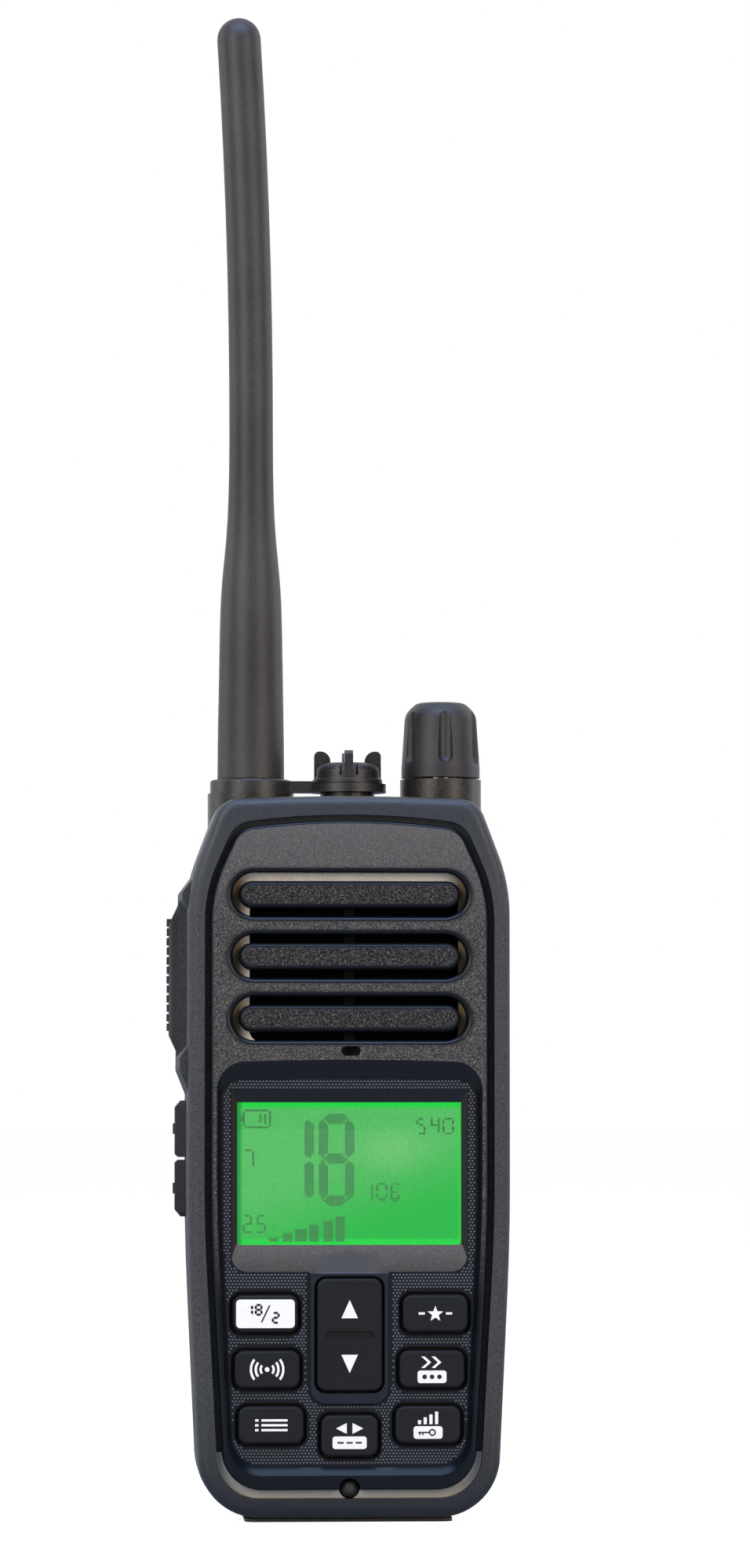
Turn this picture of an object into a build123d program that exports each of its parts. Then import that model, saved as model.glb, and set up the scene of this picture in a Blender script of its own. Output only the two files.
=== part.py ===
from build123d import *
import os
from math import cos, sin

# Handheld marine VHF radio, in millimetres. X runs to the user's right, Y from the front to the back, +Z up.
# The origin is the middle of the underside of the foot that the radio stands on.

# ---------------------------------------------------------------- clearances
seat_gap = 0.05
run_gap = 0.08
slide_gap = 0.3

# ---------------------------------------------------------------- overall sizes of the case
body_top = 128.0
body_width = 57.2
front_depth = 11.1
rear_depth = 13.0
battery_depth = 11.5
shell_wall = 2.0
foot_height = 0.6
foot_width = 36.6

# ---------------------------------------------------------------- layers, front to back
parting_y = -6.5
frame_front = parting_y - front_depth
panel_front = frame_front - 0.4
panel_thickness = 2.8
panel_back = panel_front + panel_thickness
ledge_thickness = 1.2
ledge_back = panel_back + ledge_thickness
plate_front = panel_front + 1.4
plate_thickness = 0.8
plate_back = plate_front + plate_thickness
rear_wall_y = parting_y + rear_depth
rear_inner_y = rear_wall_y - shell_wall
battery_gap = 0.3
battery_front = rear_wall_y + battery_gap
battery_back = rear_wall_y + battery_depth
upper_back = battery_back - 1.5

# ---------------------------------------------------------------- half widths: at the waist, and at the foot
body_half = body_width / 2
body_foot_half = body_half - 2.3
opening_half = body_half - 3.05
opening_foot_half = body_foot_half - 3.35
groove_width = 1.0
panel_half = opening_half - groove_width
panel_foot_half = opening_foot_half - 1.0
pocket_half = panel_half - 1.15
pocket_foot_half = panel_foot_half - 0.85
plate_half = pocket_half - 0.7
plate_foot_half = pocket_foot_half - 0.6
plate_rim = 0.3

# ---------------------------------------------------------------- heights down from the crown
waist_z = 50.0
shoulder_z = body_top - 15.7
opening_top = body_top - 3.55
panel_top = opening_top - groove_width
middle_bar_z = body_top - 28.6
pocket_top = middle_bar_z - 18.2
plate_top = pocket_top - 3.1
talk_z = body_top - 32.45
battery_top = body_top - 39.2
opening_bottom = 4.2
panel_bottom = 5.8
pocket_bottom = 8.3
plate_bottom = 9.7

# ---------------------------------------------------------------- seal between the shells, and the case screws
seal_inset = 0.6
seal_width = 0.8
seal_depth = 0.9
screw_radius = 1.2
screw_clearance = 0.15
screw_boss_radius = 2.3
screw_head_radius = 2.2
screw_head_height = 1.5
screw_engagement = 4.5
lower_screw_x = body_half - 5.1
lower_screw_z = 20.0
upper_screw_x = body_half - 5.4
upper_screw_z = body_top - 20.0

# ---------------------------------------------------------------- loudspeaker
slot_length = 2 * panel_half - 7.8
slot_height = 7.7
slot_lip = 1.0
bar_gap = 1.1
bar_height = 4.8
bar_edge = 1.0
bar_front = panel_front + 0.3
bar_pitch = 10.92
rib_width = 1.8
rib_thickness = 0.6
gasket_height = 32.0
gasket_thickness = 0.8
mesh_thickness = 0.3
speaker_radius = 17.5
speaker_rim = 2.4
speaker_plate = 1.4
magnet_radius = 8.0
mic_port_length = 3.4
mic_port_height = 1.7
vent_z = 6.0
vent_radius = 1.85
vent_plug_radius = 1.6

# ---------------------------------------------------------------- display
window_width = 2 * plate_half - 5.9
window_height = 25.1
bezel_side = 1.0
bezel_head = 2.2
bezel_chin = 4.7
bezel_corner = 2.8
lens_margin = 1.2
lens_thickness = 1.0
lcd_thickness = 1.8
lcd_margin = 1.0

# ---------------------------------------------------------------- keys
rocker_width = 11.5
rocker_height = 19.7
rocker_gap = 0.45
surround_rim = 1.35
surround_foot = 2.5
surround_height = 0.5
rocker_pivot_radius = 0.4
rocker_pivot_y = panel_back + slide_gap + rocker_pivot_radius
key_height = 6.5
key_gap = 0.6
key_radius = 1.6
key_edge = 0.5
key_flange = 0.45
key_flange_thickness = 0.5
key_travel = 0.6
scan_width = 10.0
scan_height = 7.2
key_front = plate_front - 0.8
rocker_front = key_front - 0.2
key_row_pitch = 9.75

# ---------------------------------------------------------------- keypad mat and boards
mat_sheet = 1.0
mat_front = panel_back + seat_gap + key_flange_thickness + key_travel + 0.15
plunger_radius = 1.5
dome_radius = 2.2
dome_height = 0.3
keypad_board_thickness = 0.8
keypad_board_front = panel_back + 4.6
main_board_thickness = 1.6
main_board_front = parting_y - main_board_thickness
board_inset = 1.1
peg_radius = 0.8
chassis_gap = 3.0
chassis_thickness = 1.6
shield_height = 2.8

# ---------------------------------------------------------------- top fittings, each on an upright axis
fitting_y = rear_wall_y - 4.5
antenna_boss_radius = 7.75
antenna_boss_top = body_top + 1.0
tether_ring_radius = 7.3
jack_x = 0.5
jack_boss_radius = 4.9
jack_boss_top = body_top + 1.2
cap_flange_radius = 6.3
knob_boss_radius = 7.3
knob_boss_top = body_top + 3.6
knob_radius = 7.05
antenna_x = jack_x - cap_flange_radius - tether_ring_radius - 3.8
knob_x = jack_x + cap_flange_radius + knob_radius + 3.45

connector_radius = 4.0
socket_wall = 1.42
socket_radius = connector_radius + run_gap + socket_wall
socket_bottom = antenna_boss_top - 13.0
connector_bottom = socket_bottom + 2.5
spigot_radius = 3.0
spigot_length = 10.65
antenna_seal_width = 0.6
antenna_seal_thickness = 1.1

tether_jack_radius = 6.95
tether_top = antenna_boss_top + 2.5
tether_jack_top = jack_boss_top + 1.6
tether_strap_width = 5.0

whip_bottom = tether_top + 0.15
whip_base_radius = 6.0
whip_thin_radius = 3.94
whip_straight_top = whip_bottom + 61.65
whip_bend_radius = 1150.0
whip_bend_length = 72.6
radiator_radius = 0.9

plug_radius = 2.5
plug_length = 7.45
jack_wall = 0.92
jack_radius = plug_radius + run_gap + jack_wall
cap_flange_thickness = 0.75
cap_bottom = tether_jack_top + 0.15
cap_dome_radius = 5.9
cap_dome_height = 2.9
cap_fin_height = 5.0
cap_fin_thickness = 1.5
cap_fin_length = 2.9
cap_seal_width = 1.0
cap_seal_thickness = 0.8

knob_bottom = knob_boss_top + 0.35
knob_height = 13.6
knob_top = knob_bottom + knob_height
knob_top_radius = 6.55
knob_flutes = 6
flute_radius = 1.5
flute_bottom = knob_bottom + 3.9
knob_skirt_depth = 9.5
knob_skirt_wall = 2.05
hub_wall = 1.0
shaft_radius = 3.0
shaft_bottom = knob_bottom - 15.55
shaft_top = knob_bottom + 10.95
bushing_wall = 0.82
bushing_radius = shaft_radius + run_gap + bushing_wall
control_width = 9.0
control_depth = 8.8
control_height = 5.0
control_bottom = body_top - 12.4
control_x = knob_x - 0.2
control_y = rear_inner_y - 0.1 - control_depth / 2

# ---------------------------------------------------------------- talk button and side keys, on the left wall
side_gap = 0.2
side_flange = 0.9
side_flange_thickness = 0.8
side_root = body_half - shell_wall - 0.15
side_centre_y = (parting_y + rear_inner_y) / 2
talk_length = 27.2
talk_width = rear_inner_y - parting_y - 1.6
talk_corner = 2.5
talk_face = body_half + 3.0
talk_slope_length = 3.7
talk_slope_depth = 1.7
talk_travel = 1.2
bump_pitch = 3.4
bump_height = 0.4
side_key_length = 10.05
side_key_width = 7.0
side_key_corner = 1.2
side_key_face = body_half + 1.9
side_key_travel = 0.7
side_key_z = (talk_z - 26.6, talk_z - 37.2)
side_board_x = body_half - 6.9
side_board_thickness = 0.8
switch_width = 5.0
switch_height = 1.6
horn_root = body_half - 1.6
horn_upper_half = body_half + 1.3
horn_lower_half = body_half + 1.7
horn_front = parting_y - 8.1

# ---------------------------------------------------------------- battery, its latch and the belt clip
battery_bottom = 1.6
battery_inset = 0.6
battery_wall = 1.8
battery_cover_thickness = 1.4
lug_z = 2.6
lug_width = 5.4
lug_height = 1.6
lug_reach = 1.4
contact_z = 26.0
contact_pitch = 5.0
contact_radius = 0.8
cell_height = battery_top - battery_bottom - 27.2
upper_block_bottom = battery_top + 0.4
latch_width = 12.0
latch_thickness = 2.0
latch_y = rear_wall_y + 3.5
latch_tongue = 2.0
latch_travel = 2.2
latch_roof = 2.2
latch_pad_height = 4.0
latch_well = 6.6
latch_spring_radius = 0.8

clip_pin_radius = 1.0
clip_pin_z = battery_top - 12.8
clip_pin_y = battery_back + 5.6
clip_width = 20.0
clip_thickness = 2.2
clip_inner_y = battery_back + 6.4
clip_top = clip_pin_z + 10.0
clip_bottom = clip_pin_z - 56.0
clip_lip = 5.6
bracket_thickness = 1.8
ear_width = 3.0
ear_x = 6.5
ear_radius = 2.5
clip_screw_x = 5.5
clip_screw_z = clip_pin_z - 6.4
clip_screw_radius = 1.2

body_outline = [
    (body_half - 5.7, body_top - 0.6, 5.0),
    (body_half, shoulder_z, 30.0),
    (body_half, waist_z, 400.0),
    (body_foot_half, foot_height, 11.0),
]
opening_outline = [
    (opening_half - 5.25, opening_top - 1.5, 5.0),
    (opening_half, shoulder_z - 1.3, 25.0),
    (opening_half, waist_z + 2.0, 300.0),
    (opening_foot_half, opening_bottom, 7.5),
]
panel_outline = [
    (panel_half - 5.05, panel_top - 1.5, 4.3),
    (panel_half, shoulder_z - 1.5, 25.0),
    (panel_half, waist_z + 2.0, 300.0),
    (panel_foot_half, panel_bottom, 7.0),
]
pocket_outline = [
    (pocket_half, pocket_top - 0.5, 5.0),
    (pocket_half, waist_z + 4.0, 300.0),
    (pocket_foot_half, pocket_bottom, 6.0),
]
plate_outline = [
    (plate_half, plate_top - 0.4, 3.5),
    (plate_half, waist_z + 3.0, 300.0),
    (plate_foot_half, plate_bottom, 5.3),
]


def at_depth(y):
    """A plane facing the user at depth y, with its own x across and y upwards. A positive extrusion comes forward."""
    return Plane.XZ.offset(-y)


def mirrored_face(crown_z, corners):
    """A face symmetric about the middle: an arched top, then the corners (half width, height, fillet radius) down."""
    right = [(x, z) for x, z, _ in corners]
    left = [(-x, z) for x, z in reversed(right)]
    with BuildSketch() as face:
        with BuildLine():
            ThreePointArc(left[-1], (0, crown_z), right[0])
            Polyline(*right, *left)
        make_face()
        for _, z, radius in corners:
            fillet(face.vertices().filter_by_position(Axis.Y, z - 0.01, z + 0.01), radius)
    return face.sketch


def below(face, top):
    """The part of a face under the height top."""
    with BuildSketch() as cut:
        add(face)
        with Locations((0, top)):
            Rectangle(4 * body_width, body_top, align=(Align.CENTER, Align.MAX), mode=Mode.INTERSECT)
    return cut.sketch


def save(part, label):
    """Names a finished piece and writes it as one STEP file."""
    part.label = label
    export_step(part, f"parts/{label}.step")


os.makedirs("parts", exist_ok=True)

body_face = mirrored_face(body_top, body_outline)
opening_face = mirrored_face(opening_top, opening_outline)
panel_face = mirrored_face(panel_top, panel_outline)
pocket_face = mirrored_face(pocket_top, pocket_outline)
plate_face = mirrored_face(plate_top, plate_outline)
seal_outer = offset(body_face, amount=-seal_inset)
seal_inner = offset(body_face, amount=-seal_inset - seal_width)
inner_face = offset(body_face, amount=-shell_wall)

bar_heights = [middle_bar_z + step * bar_pitch for step in (1, 0, -1)]
screw_points = [
    (side * x, z) for x, z in ((lower_screw_x, lower_screw_z), (upper_screw_x, upper_screw_z)) for side in (-1, 1)
]
bezel_top = plate_top - bezel_head
window_z = bezel_top - bezel_head - window_height / 2
window_bottom = window_z - window_height / 2
bezel_bottom = window_bottom - bezel_chin
rocker_z = bezel_bottom - 1.15 - rocker_height / 2
key_inner = rocker_width / 2 + 3.3
key_width = plate_half - 2.15 - key_inner
key_x = key_inner + key_width / 2
key_row_z = [bezel_bottom - 7.3 - row * key_row_pitch for row in range(3)]
# name: (x, z, width, height); the rows lean inwards towards the foot
keys = {
    "key_channel": (-key_x, key_row_z[0], key_width, key_height),
    "key_call": (0.3 - key_x, key_row_z[1], key_width, key_height),
    "key_menu": (1.0 - key_x, key_row_z[2], key_width, key_height),
    "key_favourite": (key_x + 0.3, key_row_z[0], key_width, key_height),
    "key_watch": (key_x - 0.3, key_row_z[1], key_width, key_height),
    "key_power_lock": (key_x - 1.0, key_row_z[2], key_width, key_height),
    "key_scan": (0.0, rocker_z - 17.7, scan_width, scan_height),
}
side_keys_length = side_key_z[0] - side_key_z[1] + side_key_length
side_keys_z = sum(side_key_z) / 2
pegs = [(side * (panel_half - 1.95), z) for z in (plate_top - 6.1, plate_top - 32.1) for side in (-1, 1)]
mic_port = (0.2, pocket_top + 1.55)
contacts = [(step * contact_pitch, contact_z) for step in (-1, 0, 1)]

# ================================================================ front shell
# the side swells into two horns, above and below the talk button
pad_top = talk_z + 19.45
pad_bottom = talk_z - 21.55
horn_top = [
    (-horn_root, pad_top),
    (-horn_root - 0.9, pad_top - 1.4),
    (-horn_upper_half, talk_z + 15.35),
    (-horn_upper_half, talk_z + 13.85),
    (-horn_root - 1.4, talk_z + 11.85),
    (-horn_root, talk_z + 11.85),
]
horn_bottom = [
    (-horn_root, talk_z - 11.35),
    (-horn_root - 1.4, talk_z - 11.35),
    (-horn_lower_half, talk_z - 13.75),
    (-horn_lower_half, talk_z - 16.15),
    (-horn_root - 1.4, pad_bottom + 0.6),
    (-horn_root, pad_bottom),
]
side_pad = horn_top[:3] + horn_bottom[3:]

with BuildPart() as front_housing:
    with BuildSketch(at_depth(parting_y)):
        add(body_face)
    extrude(amount=front_depth, taper=1.2)
    fillet(front_housing.faces().sort_by(Axis.Y)[0].edges(), 1.9)
    with BuildSketch(at_depth(parting_y)):
        Polygon(*horn_top, align=None)
        Polygon(*horn_bottom, align=None)
    extrude(amount=parting_y - horn_front, taper=3)
    with BuildSketch(at_depth(parting_y)):
        add(inner_face)
    extrude(amount=parting_y - ledge_back, mode=Mode.SUBTRACT)
    with BuildSketch(at_depth(panel_back)):
        add(opening_face)
    extrude(amount=panel_back - frame_front, mode=Mode.SUBTRACT)
    with BuildSketch(at_depth(ledge_back)):
        add(opening_face)
        offset(amount=-1.6)
    extrude(amount=ledge_thickness, mode=Mode.SUBTRACT)
    with BuildSketch(at_depth(ledge_back)):
        with Locations((0, vent_z)):
            Circle(vent_radius)
    extrude(amount=ledge_back - frame_front, mode=Mode.SUBTRACT)
    # groove for the seal between the shells
    with BuildSketch(at_depth(parting_y)):
        add(seal_outer)
        add(seal_inner, mode=Mode.SUBTRACT)
    extrude(amount=seal_depth, mode=Mode.SUBTRACT)
    # posts that the case screws bite into, from the front wall back to the parting plane
    with BuildSketch(at_depth(parting_y)):
        with Locations(*screw_points):
            Circle(screw_boss_radius)
    extrude(amount=parting_y - ledge_back)
    with BuildSketch(at_depth(parting_y)):
        with Locations(*screw_points):
            Circle(screw_radius)
    extrude(amount=screw_engagement + 1.0, mode=Mode.SUBTRACT)
save(front_housing.part, "front_housing")

# pale strip that shows in the groove under the panel
strip_outer_face = below(offset(opening_face, amount=-seat_gap), opening_bottom + 8.1)
strip_inner_face = offset(panel_face, amount=3 * seat_gap)

with BuildPart() as panel_seal:
    with BuildSketch(at_depth(panel_back)):
        add(strip_outer_face)
        add(strip_inner_face, mode=Mode.SUBTRACT)
        with Locations((0, vent_z)):
            Circle(vent_radius, mode=Mode.SUBTRACT)
    extrude(amount=0.7)
save(panel_seal.part, "panel_seal")

# ================================================================ front panel with the grille slots and the keypad pocket
with BuildPart() as front_panel:
    with BuildSketch(at_depth(panel_back)):
        add(panel_face)
    extrude(amount=panel_thickness)
    fillet(front_panel.faces().sort_by(Axis.Y)[0].edges(), 0.7)
    with BuildSketch(at_depth(panel_back)):
        with Locations(*[(0, z) for z in bar_heights]):
            SlotOverall(slot_length, slot_height)
    extrude(amount=panel_thickness, mode=Mode.SUBTRACT)
    fillet(front_panel.faces().sort_by(Axis.Y)[0].inner_wires().edges(), slot_lip)
    with BuildSketch(at_depth(panel_front)):
        add(pocket_face)
    with BuildSketch(at_depth(plate_front)):
        add(plate_face)
    loft(mode=Mode.SUBTRACT)
    with BuildSketch(at_depth(plate_back)):
        add(plate_face)
    extrude(amount=plate_thickness, mode=Mode.SUBTRACT)
    with BuildSketch(at_depth(panel_back)):
        add(plate_face)
        offset(amount=-plate_rim)
    extrude(amount=panel_back - plate_back, mode=Mode.SUBTRACT)
    with BuildSketch(at_depth(panel_back)):
        with Locations(mic_port):
            SlotOverall(mic_port_length, mic_port_height)
        with Locations((0, vent_z)):
            Circle(vent_radius)
    extrude(amount=panel_thickness, mode=Mode.SUBTRACT)
    # pegs that carry the keypad board
    with BuildSketch(at_depth(panel_back)):
        with Locations(*pegs):
            Circle(peg_radius)
    extrude(amount=panel_back - keypad_board_front)
save(front_panel.part, "front_panel")

bar_length = slot_length - 2 * bar_gap
rib_above = bar_pitch + bar_height / 2 - 0.4
rib_below = bar_pitch + slot_height / 2 + 0.6

with BuildPart() as speaker_grille:
    with BuildSketch(at_depth(panel_back)):
        with Locations(*[(0, z) for z in bar_heights]):
            SlotOverall(bar_length, bar_height)
    extrude(amount=panel_back - bar_front)
    fillet(speaker_grille.faces().filter_by(Axis.Y).group_by(Axis.Y)[0].edges(), bar_edge)
    # the rib that joins the bars behind the panel; its top end stays hidden behind the upper bar
    with BuildSketch(at_depth(panel_back)):
        with Locations((0, middle_bar_z - rib_below)):
            Rectangle(rib_width, rib_below + rib_above, align=(Align.CENTER, Align.MIN))
    extrude(amount=-rib_thickness)
save(speaker_grille.part, "speaker_grille")

grille_back = panel_back + rib_thickness
gasket_z = middle_bar_z + 0.5
gasket_width = slot_length + 0.1

with BuildPart() as speaker_gasket:
    with BuildSketch(at_depth(grille_back)):
        with Locations((0, gasket_z)):
            RectangleRounded(gasket_width, gasket_height, 4.0)
        with Locations((0.9, gasket_z - 1.3)):
            RectangleRounded(gasket_width - 4.4, gasket_height - 3.6, 2.0, mode=Mode.SUBTRACT)
    extrude(amount=-gasket_thickness)
save(speaker_gasket.part, "speaker_gasket")

with BuildPart() as speaker_mesh:
    with BuildSketch(at_depth(grille_back + gasket_thickness)):
        with Locations((0, gasket_z)):
            RectangleRounded(gasket_width - 0.4, gasket_height - 0.8, 4.0)
    extrude(amount=-mesh_thickness)
save(speaker_mesh.part, "speaker_mesh")

speaker_front = grille_back + gasket_thickness + mesh_thickness + seat_gap
speaker_depth = main_board_front - speaker_front - 0.4
cone_radius = speaker_radius - speaker_rim
magnet_front = speaker_front + 2.3

with BuildPart() as speaker_frame:
    with BuildSketch(at_depth(speaker_front)):
        with Locations((0, middle_bar_z)):
            Circle(speaker_radius)
            Circle(cone_radius, mode=Mode.SUBTRACT)
    extrude(amount=-1.2)
    with BuildSketch(at_depth(speaker_front + 1.2)):
        with Locations((0, middle_bar_z)):
            Circle(speaker_radius - 0.6)
            Circle(cone_radius, mode=Mode.SUBTRACT)
    extrude(amount=-(speaker_depth - speaker_plate - 1.2))
    with BuildSketch(at_depth(speaker_front + speaker_depth - speaker_plate)):
        with Locations((0, middle_bar_z)):
            Circle(speaker_radius - 0.6)
    extrude(amount=-speaker_plate)
    # the magnet, a disc of its own on the back plate
    with BuildSketch(at_depth(magnet_front)):
        with Locations((0, middle_bar_z)):
            Circle(magnet_radius)
    extrude(amount=-(speaker_front + speaker_depth - speaker_plate - magnet_front - seat_gap))
save(speaker_frame.part, "speaker_frame")

with BuildPart() as speaker_cone:
    with BuildSketch(Plane.YZ):
        with BuildLine():
            Polyline(
                (speaker_front + 0.2, middle_bar_z + cone_radius - seat_gap),
                (speaker_front + 0.2, middle_bar_z + cone_radius - 2.2),
                (speaker_front + 1.6, middle_bar_z + 4.5),
                (speaker_front + 0.6, middle_bar_z),
                (speaker_front + 1.0, middle_bar_z),
                (speaker_front + 2.0, middle_bar_z + 4.5),
                (speaker_front + 0.6, middle_bar_z + cone_radius - 2.1),
                (speaker_front + 0.6, middle_bar_z + cone_radius - seat_gap),
                close=True,
            )
        make_face()
    revolve(axis=Axis((0, 0, middle_bar_z), (0, 1, 0)))
save(speaker_cone.part, "speaker_cone")

with BuildPart() as microphone:
    with BuildSketch(at_depth(panel_back + seat_gap)):
        with Locations(mic_port):
            RectangleRounded(mic_port_length + 0.8, mic_port_height + 0.2, 0.4)
    extrude(amount=-1.6)
save(microphone.part, "microphone")

with BuildPart() as vent_plug:
    with BuildSketch(at_depth(ledge_back)):
        with Locations((0, vent_z)):
            Circle(vent_plug_radius)
    extrude(amount=ledge_back - frame_front - 0.8)
    fillet(vent_plug.faces().sort_by(Axis.Y)[0].edges(), vent_plug_radius - 0.25)
    # the flange that holds the plug behind the ledge
    with BuildSketch(at_depth(ledge_back)):
        with Locations((0, vent_z)):
            Circle(vent_radius + 0.5)
    extrude(amount=-0.8)
save(vent_plug.part, "vent_plug")

# ================================================================ keypad plate, display and keys
surround_half = rocker_width / 2 + surround_rim
surround_bottom = rocker_z - rocker_height / 2 - surround_foot


def display_outline(half, top, bottom, corner):
    """A face with square upper corners and two rounded lower ones."""
    bulge = corner * (1 - cos(0.785398))
    with BuildSketch() as outline:
        with BuildLine():
            Line((-half, top), (half, top))
            Line((half, top), (half, bottom + corner))
            ThreePointArc((half, bottom + corner), (half - bulge, bottom + bulge), (half - corner, bottom))
            Line((half - corner, bottom), (corner - half, bottom))
            ThreePointArc((corner - half, bottom), (bulge - half, bottom + bulge), (-half, bottom + corner))
            Line((-half, bottom + corner), (-half, top))
        make_face()
    return outline.sketch


with BuildPart() as keypad_plate:
    with BuildSketch(at_depth(plate_back)):
        add(plate_face)
        offset(amount=-seat_gap)
    extrude(amount=plate_thickness)
    # raised rim round the rocker, running up into the display's chin
    with BuildSketch(at_depth(plate_front)) as surround:
        with Locations((0, (bezel_bottom + surround_bottom) / 2)):
            Rectangle(2 * surround_half, bezel_bottom - surround_bottom)
        fillet(surround.vertices().group_by(Axis.Y)[0], 3.0)
    extrude(amount=surround_height, taper=30)
    # sloped recess round the display, wide at its foot
    with BuildSketch(at_depth(plate_front)):
        add(display_outline(window_width / 2 + bezel_side, bezel_top, bezel_bottom, bezel_corner))
    with BuildSketch(at_depth(plate_back)):
        add(display_outline(window_width / 2, window_z + window_height / 2, window_bottom, 0.6))
    loft(ruled=True, mode=Mode.SUBTRACT)
    # holes for the keys and the rocker
    with BuildSketch(at_depth(plate_back)):
        for x, z, width, height in keys.values():
            with Locations((x, z)):
                RectangleRounded(width + 2 * key_gap, height + 2 * key_gap, key_radius + key_gap)
        with Locations((0, rocker_z)):
            RectangleRounded(rocker_width + 2 * rocker_gap, rocker_height + 2 * rocker_gap, key_radius + rocker_gap)
    extrude(amount=plate_thickness + surround_height, mode=Mode.SUBTRACT)
save(keypad_plate.part, "keypad_plate")

lcd_front = plate_back + lens_thickness + 0.1

with BuildPart() as display_lens:
    with BuildSketch(at_depth(plate_back)):
        with Locations((0, window_z)):
            RectangleRounded(window_width + 2 * lens_margin, window_height + 2 * lens_margin, 0.8)
    extrude(amount=-lens_thickness)
save(display_lens.part, "display_lens")

with BuildPart() as lcd_panel:
    with BuildSketch(at_depth(lcd_front)):
        with Locations((0, window_z)):
            Rectangle(window_width + 2 * lcd_margin, window_height + 2 * lcd_margin)
    extrude(amount=-lcd_thickness)
save(lcd_panel.part, "lcd_panel")

with BuildPart() as lcd_backlight:
    with BuildSketch(at_depth(lcd_front + lcd_thickness)):
        with Locations((0, window_z)):
            Rectangle(window_width + lcd_margin, window_height + lcd_margin)
    extrude(amount=lcd_front + lcd_thickness - keypad_board_front)
save(lcd_backlight.part, "lcd_backlight")

for name, (x, z, width, height) in keys.items():
    with BuildPart() as key:
        with BuildSketch(at_depth(panel_back + seat_gap)):
            with Locations((x, z)):
                RectangleRounded(width, height, key_radius)
        extrude(amount=panel_back + seat_gap - key_front)
        fillet(key.faces().sort_by(Axis.Y)[0].edges(), key_edge)
        with BuildSketch(at_depth(panel_back + seat_gap)):
            with Locations((x, z)):
                RectangleRounded(
                    width + 2 * (key_gap + key_flange), height + 2 * (key_gap + key_flange), key_radius + key_gap)
        extrude(amount=-key_flange_thickness)
    save(key.part, name)

with BuildPart() as key_rocker:
    with BuildSketch(at_depth(panel_back + slide_gap)):
        with Locations((0, rocker_z)):
            RectangleRounded(rocker_width, rocker_height, key_radius)
    extrude(amount=panel_back + slide_gap - rocker_front)
    fillet(key_rocker.faces().sort_by(Axis.Y)[0].edges(), key_edge)
    # the dip between the up and down ends
    with BuildSketch(at_depth(rocker_front)):
        with Locations((0, rocker_z)):
            SlotOverall(rocker_width - 3.0, 1.3)
    extrude(amount=-0.35, mode=Mode.SUBTRACT)
    with BuildSketch(at_depth(panel_back + slide_gap)):
        with Locations((0, rocker_z)):
            RectangleRounded(
                rocker_width + 2 * (rocker_gap + 0.4), rocker_height + 2 * (rocker_gap + 0.4), key_radius + key_gap)
    extrude(amount=-key_flange_thickness)
    # the round rib that it tilts on
    with Locations((0, rocker_pivot_y, rocker_z)):
        Cylinder(rocker_pivot_radius, rocker_width + 2 * rocker_gap, rotation=(0, 90, 0))
save(key_rocker.part, "key_rocker")

# ================================================================ keypad mat and the boards
key_points = [(x, z) for x, z, _, _ in keys.values()] + [(0, rocker_z - 6.2), (0, rocker_z + 6.2)]
mat_face = below(offset(plate_face, amount=-1.4), window_bottom - 2.4)
mat_inner_face = offset(plate_face, amount=-2.4)
board_face = offset(panel_face, amount=-board_inset)
keypad_board_face = below(board_face, pocket_top - 0.6)
keypad_board_back = keypad_board_front + keypad_board_thickness

with BuildPart() as key_mat:
    with BuildSketch(at_depth(mat_front)):
        add(mat_face)
    extrude(amount=-mat_sheet)
    # plungers, one over each dome switch
    with BuildSketch(at_depth(mat_front + mat_sheet)):
        with Locations(*key_points):
            Circle(plunger_radius)
    extrude(amount=mat_front + mat_sheet - (keypad_board_front - dome_height - seat_gap))
    # a skirt that stands on the board, clear of the domes
    with BuildSketch(at_depth(mat_front + mat_sheet)):
        add(mat_face)
        add(mat_inner_face, mode=Mode.SUBTRACT)
        with Locations(*key_points):
            Circle(dome_radius + slide_gap, mode=Mode.SUBTRACT)
    extrude(amount=mat_front + mat_sheet - keypad_board_front)
save(key_mat.part, "key_mat")

with BuildPart() as dome_switches:
    with BuildSketch(at_depth(keypad_board_front)):
        with Locations(*key_points):
            Circle(dome_radius)
    extrude(amount=dome_height)
save(dome_switches.part, "dome_switches")

with BuildPart() as keypad_board:
    with BuildSketch(at_depth(keypad_board_front)):
        add(keypad_board_face)
        with Locations(*screw_points):
            Circle(screw_boss_radius + slide_gap, mode=Mode.SUBTRACT)
    extrude(amount=-keypad_board_thickness)
    # connector block that mates with the main board
    with BuildSketch(at_depth(keypad_board_back)):
        with Locations((0, window_bottom - 2.6)):
            Rectangle(16, 4)
    extrude(amount=keypad_board_back - main_board_front)
save(keypad_board.part, "keypad_board")

with BuildPart() as main_board:
    with BuildSketch(at_depth(main_board_front)):
        add(board_face)
        with Locations(*screw_points):
            Circle(screw_boss_radius + slide_gap, mode=Mode.SUBTRACT)
    extrude(amount=-main_board_thickness)
save(main_board.part, "main_board")

with BuildPart() as shield_can:
    with BuildSketch(at_depth(parting_y)):
        with Locations((2, window_z)):
            RectangleRounded(30, 44, 1.0)
    extrude(amount=-shield_height)
    fillet(shield_can.faces().sort_by(Axis.Y)[-1].edges(), 0.4)
save(shield_can.part, "shield_can")

# ================================================================ rear shell
chassis_front = parting_y + chassis_gap
chassis_back = chassis_front + chassis_thickness
chassis_half = body_half - 9.1
block_cavity_height = body_top - upper_block_bottom - 7.0
under_block_face = below(body_face, upper_block_bottom)

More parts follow.
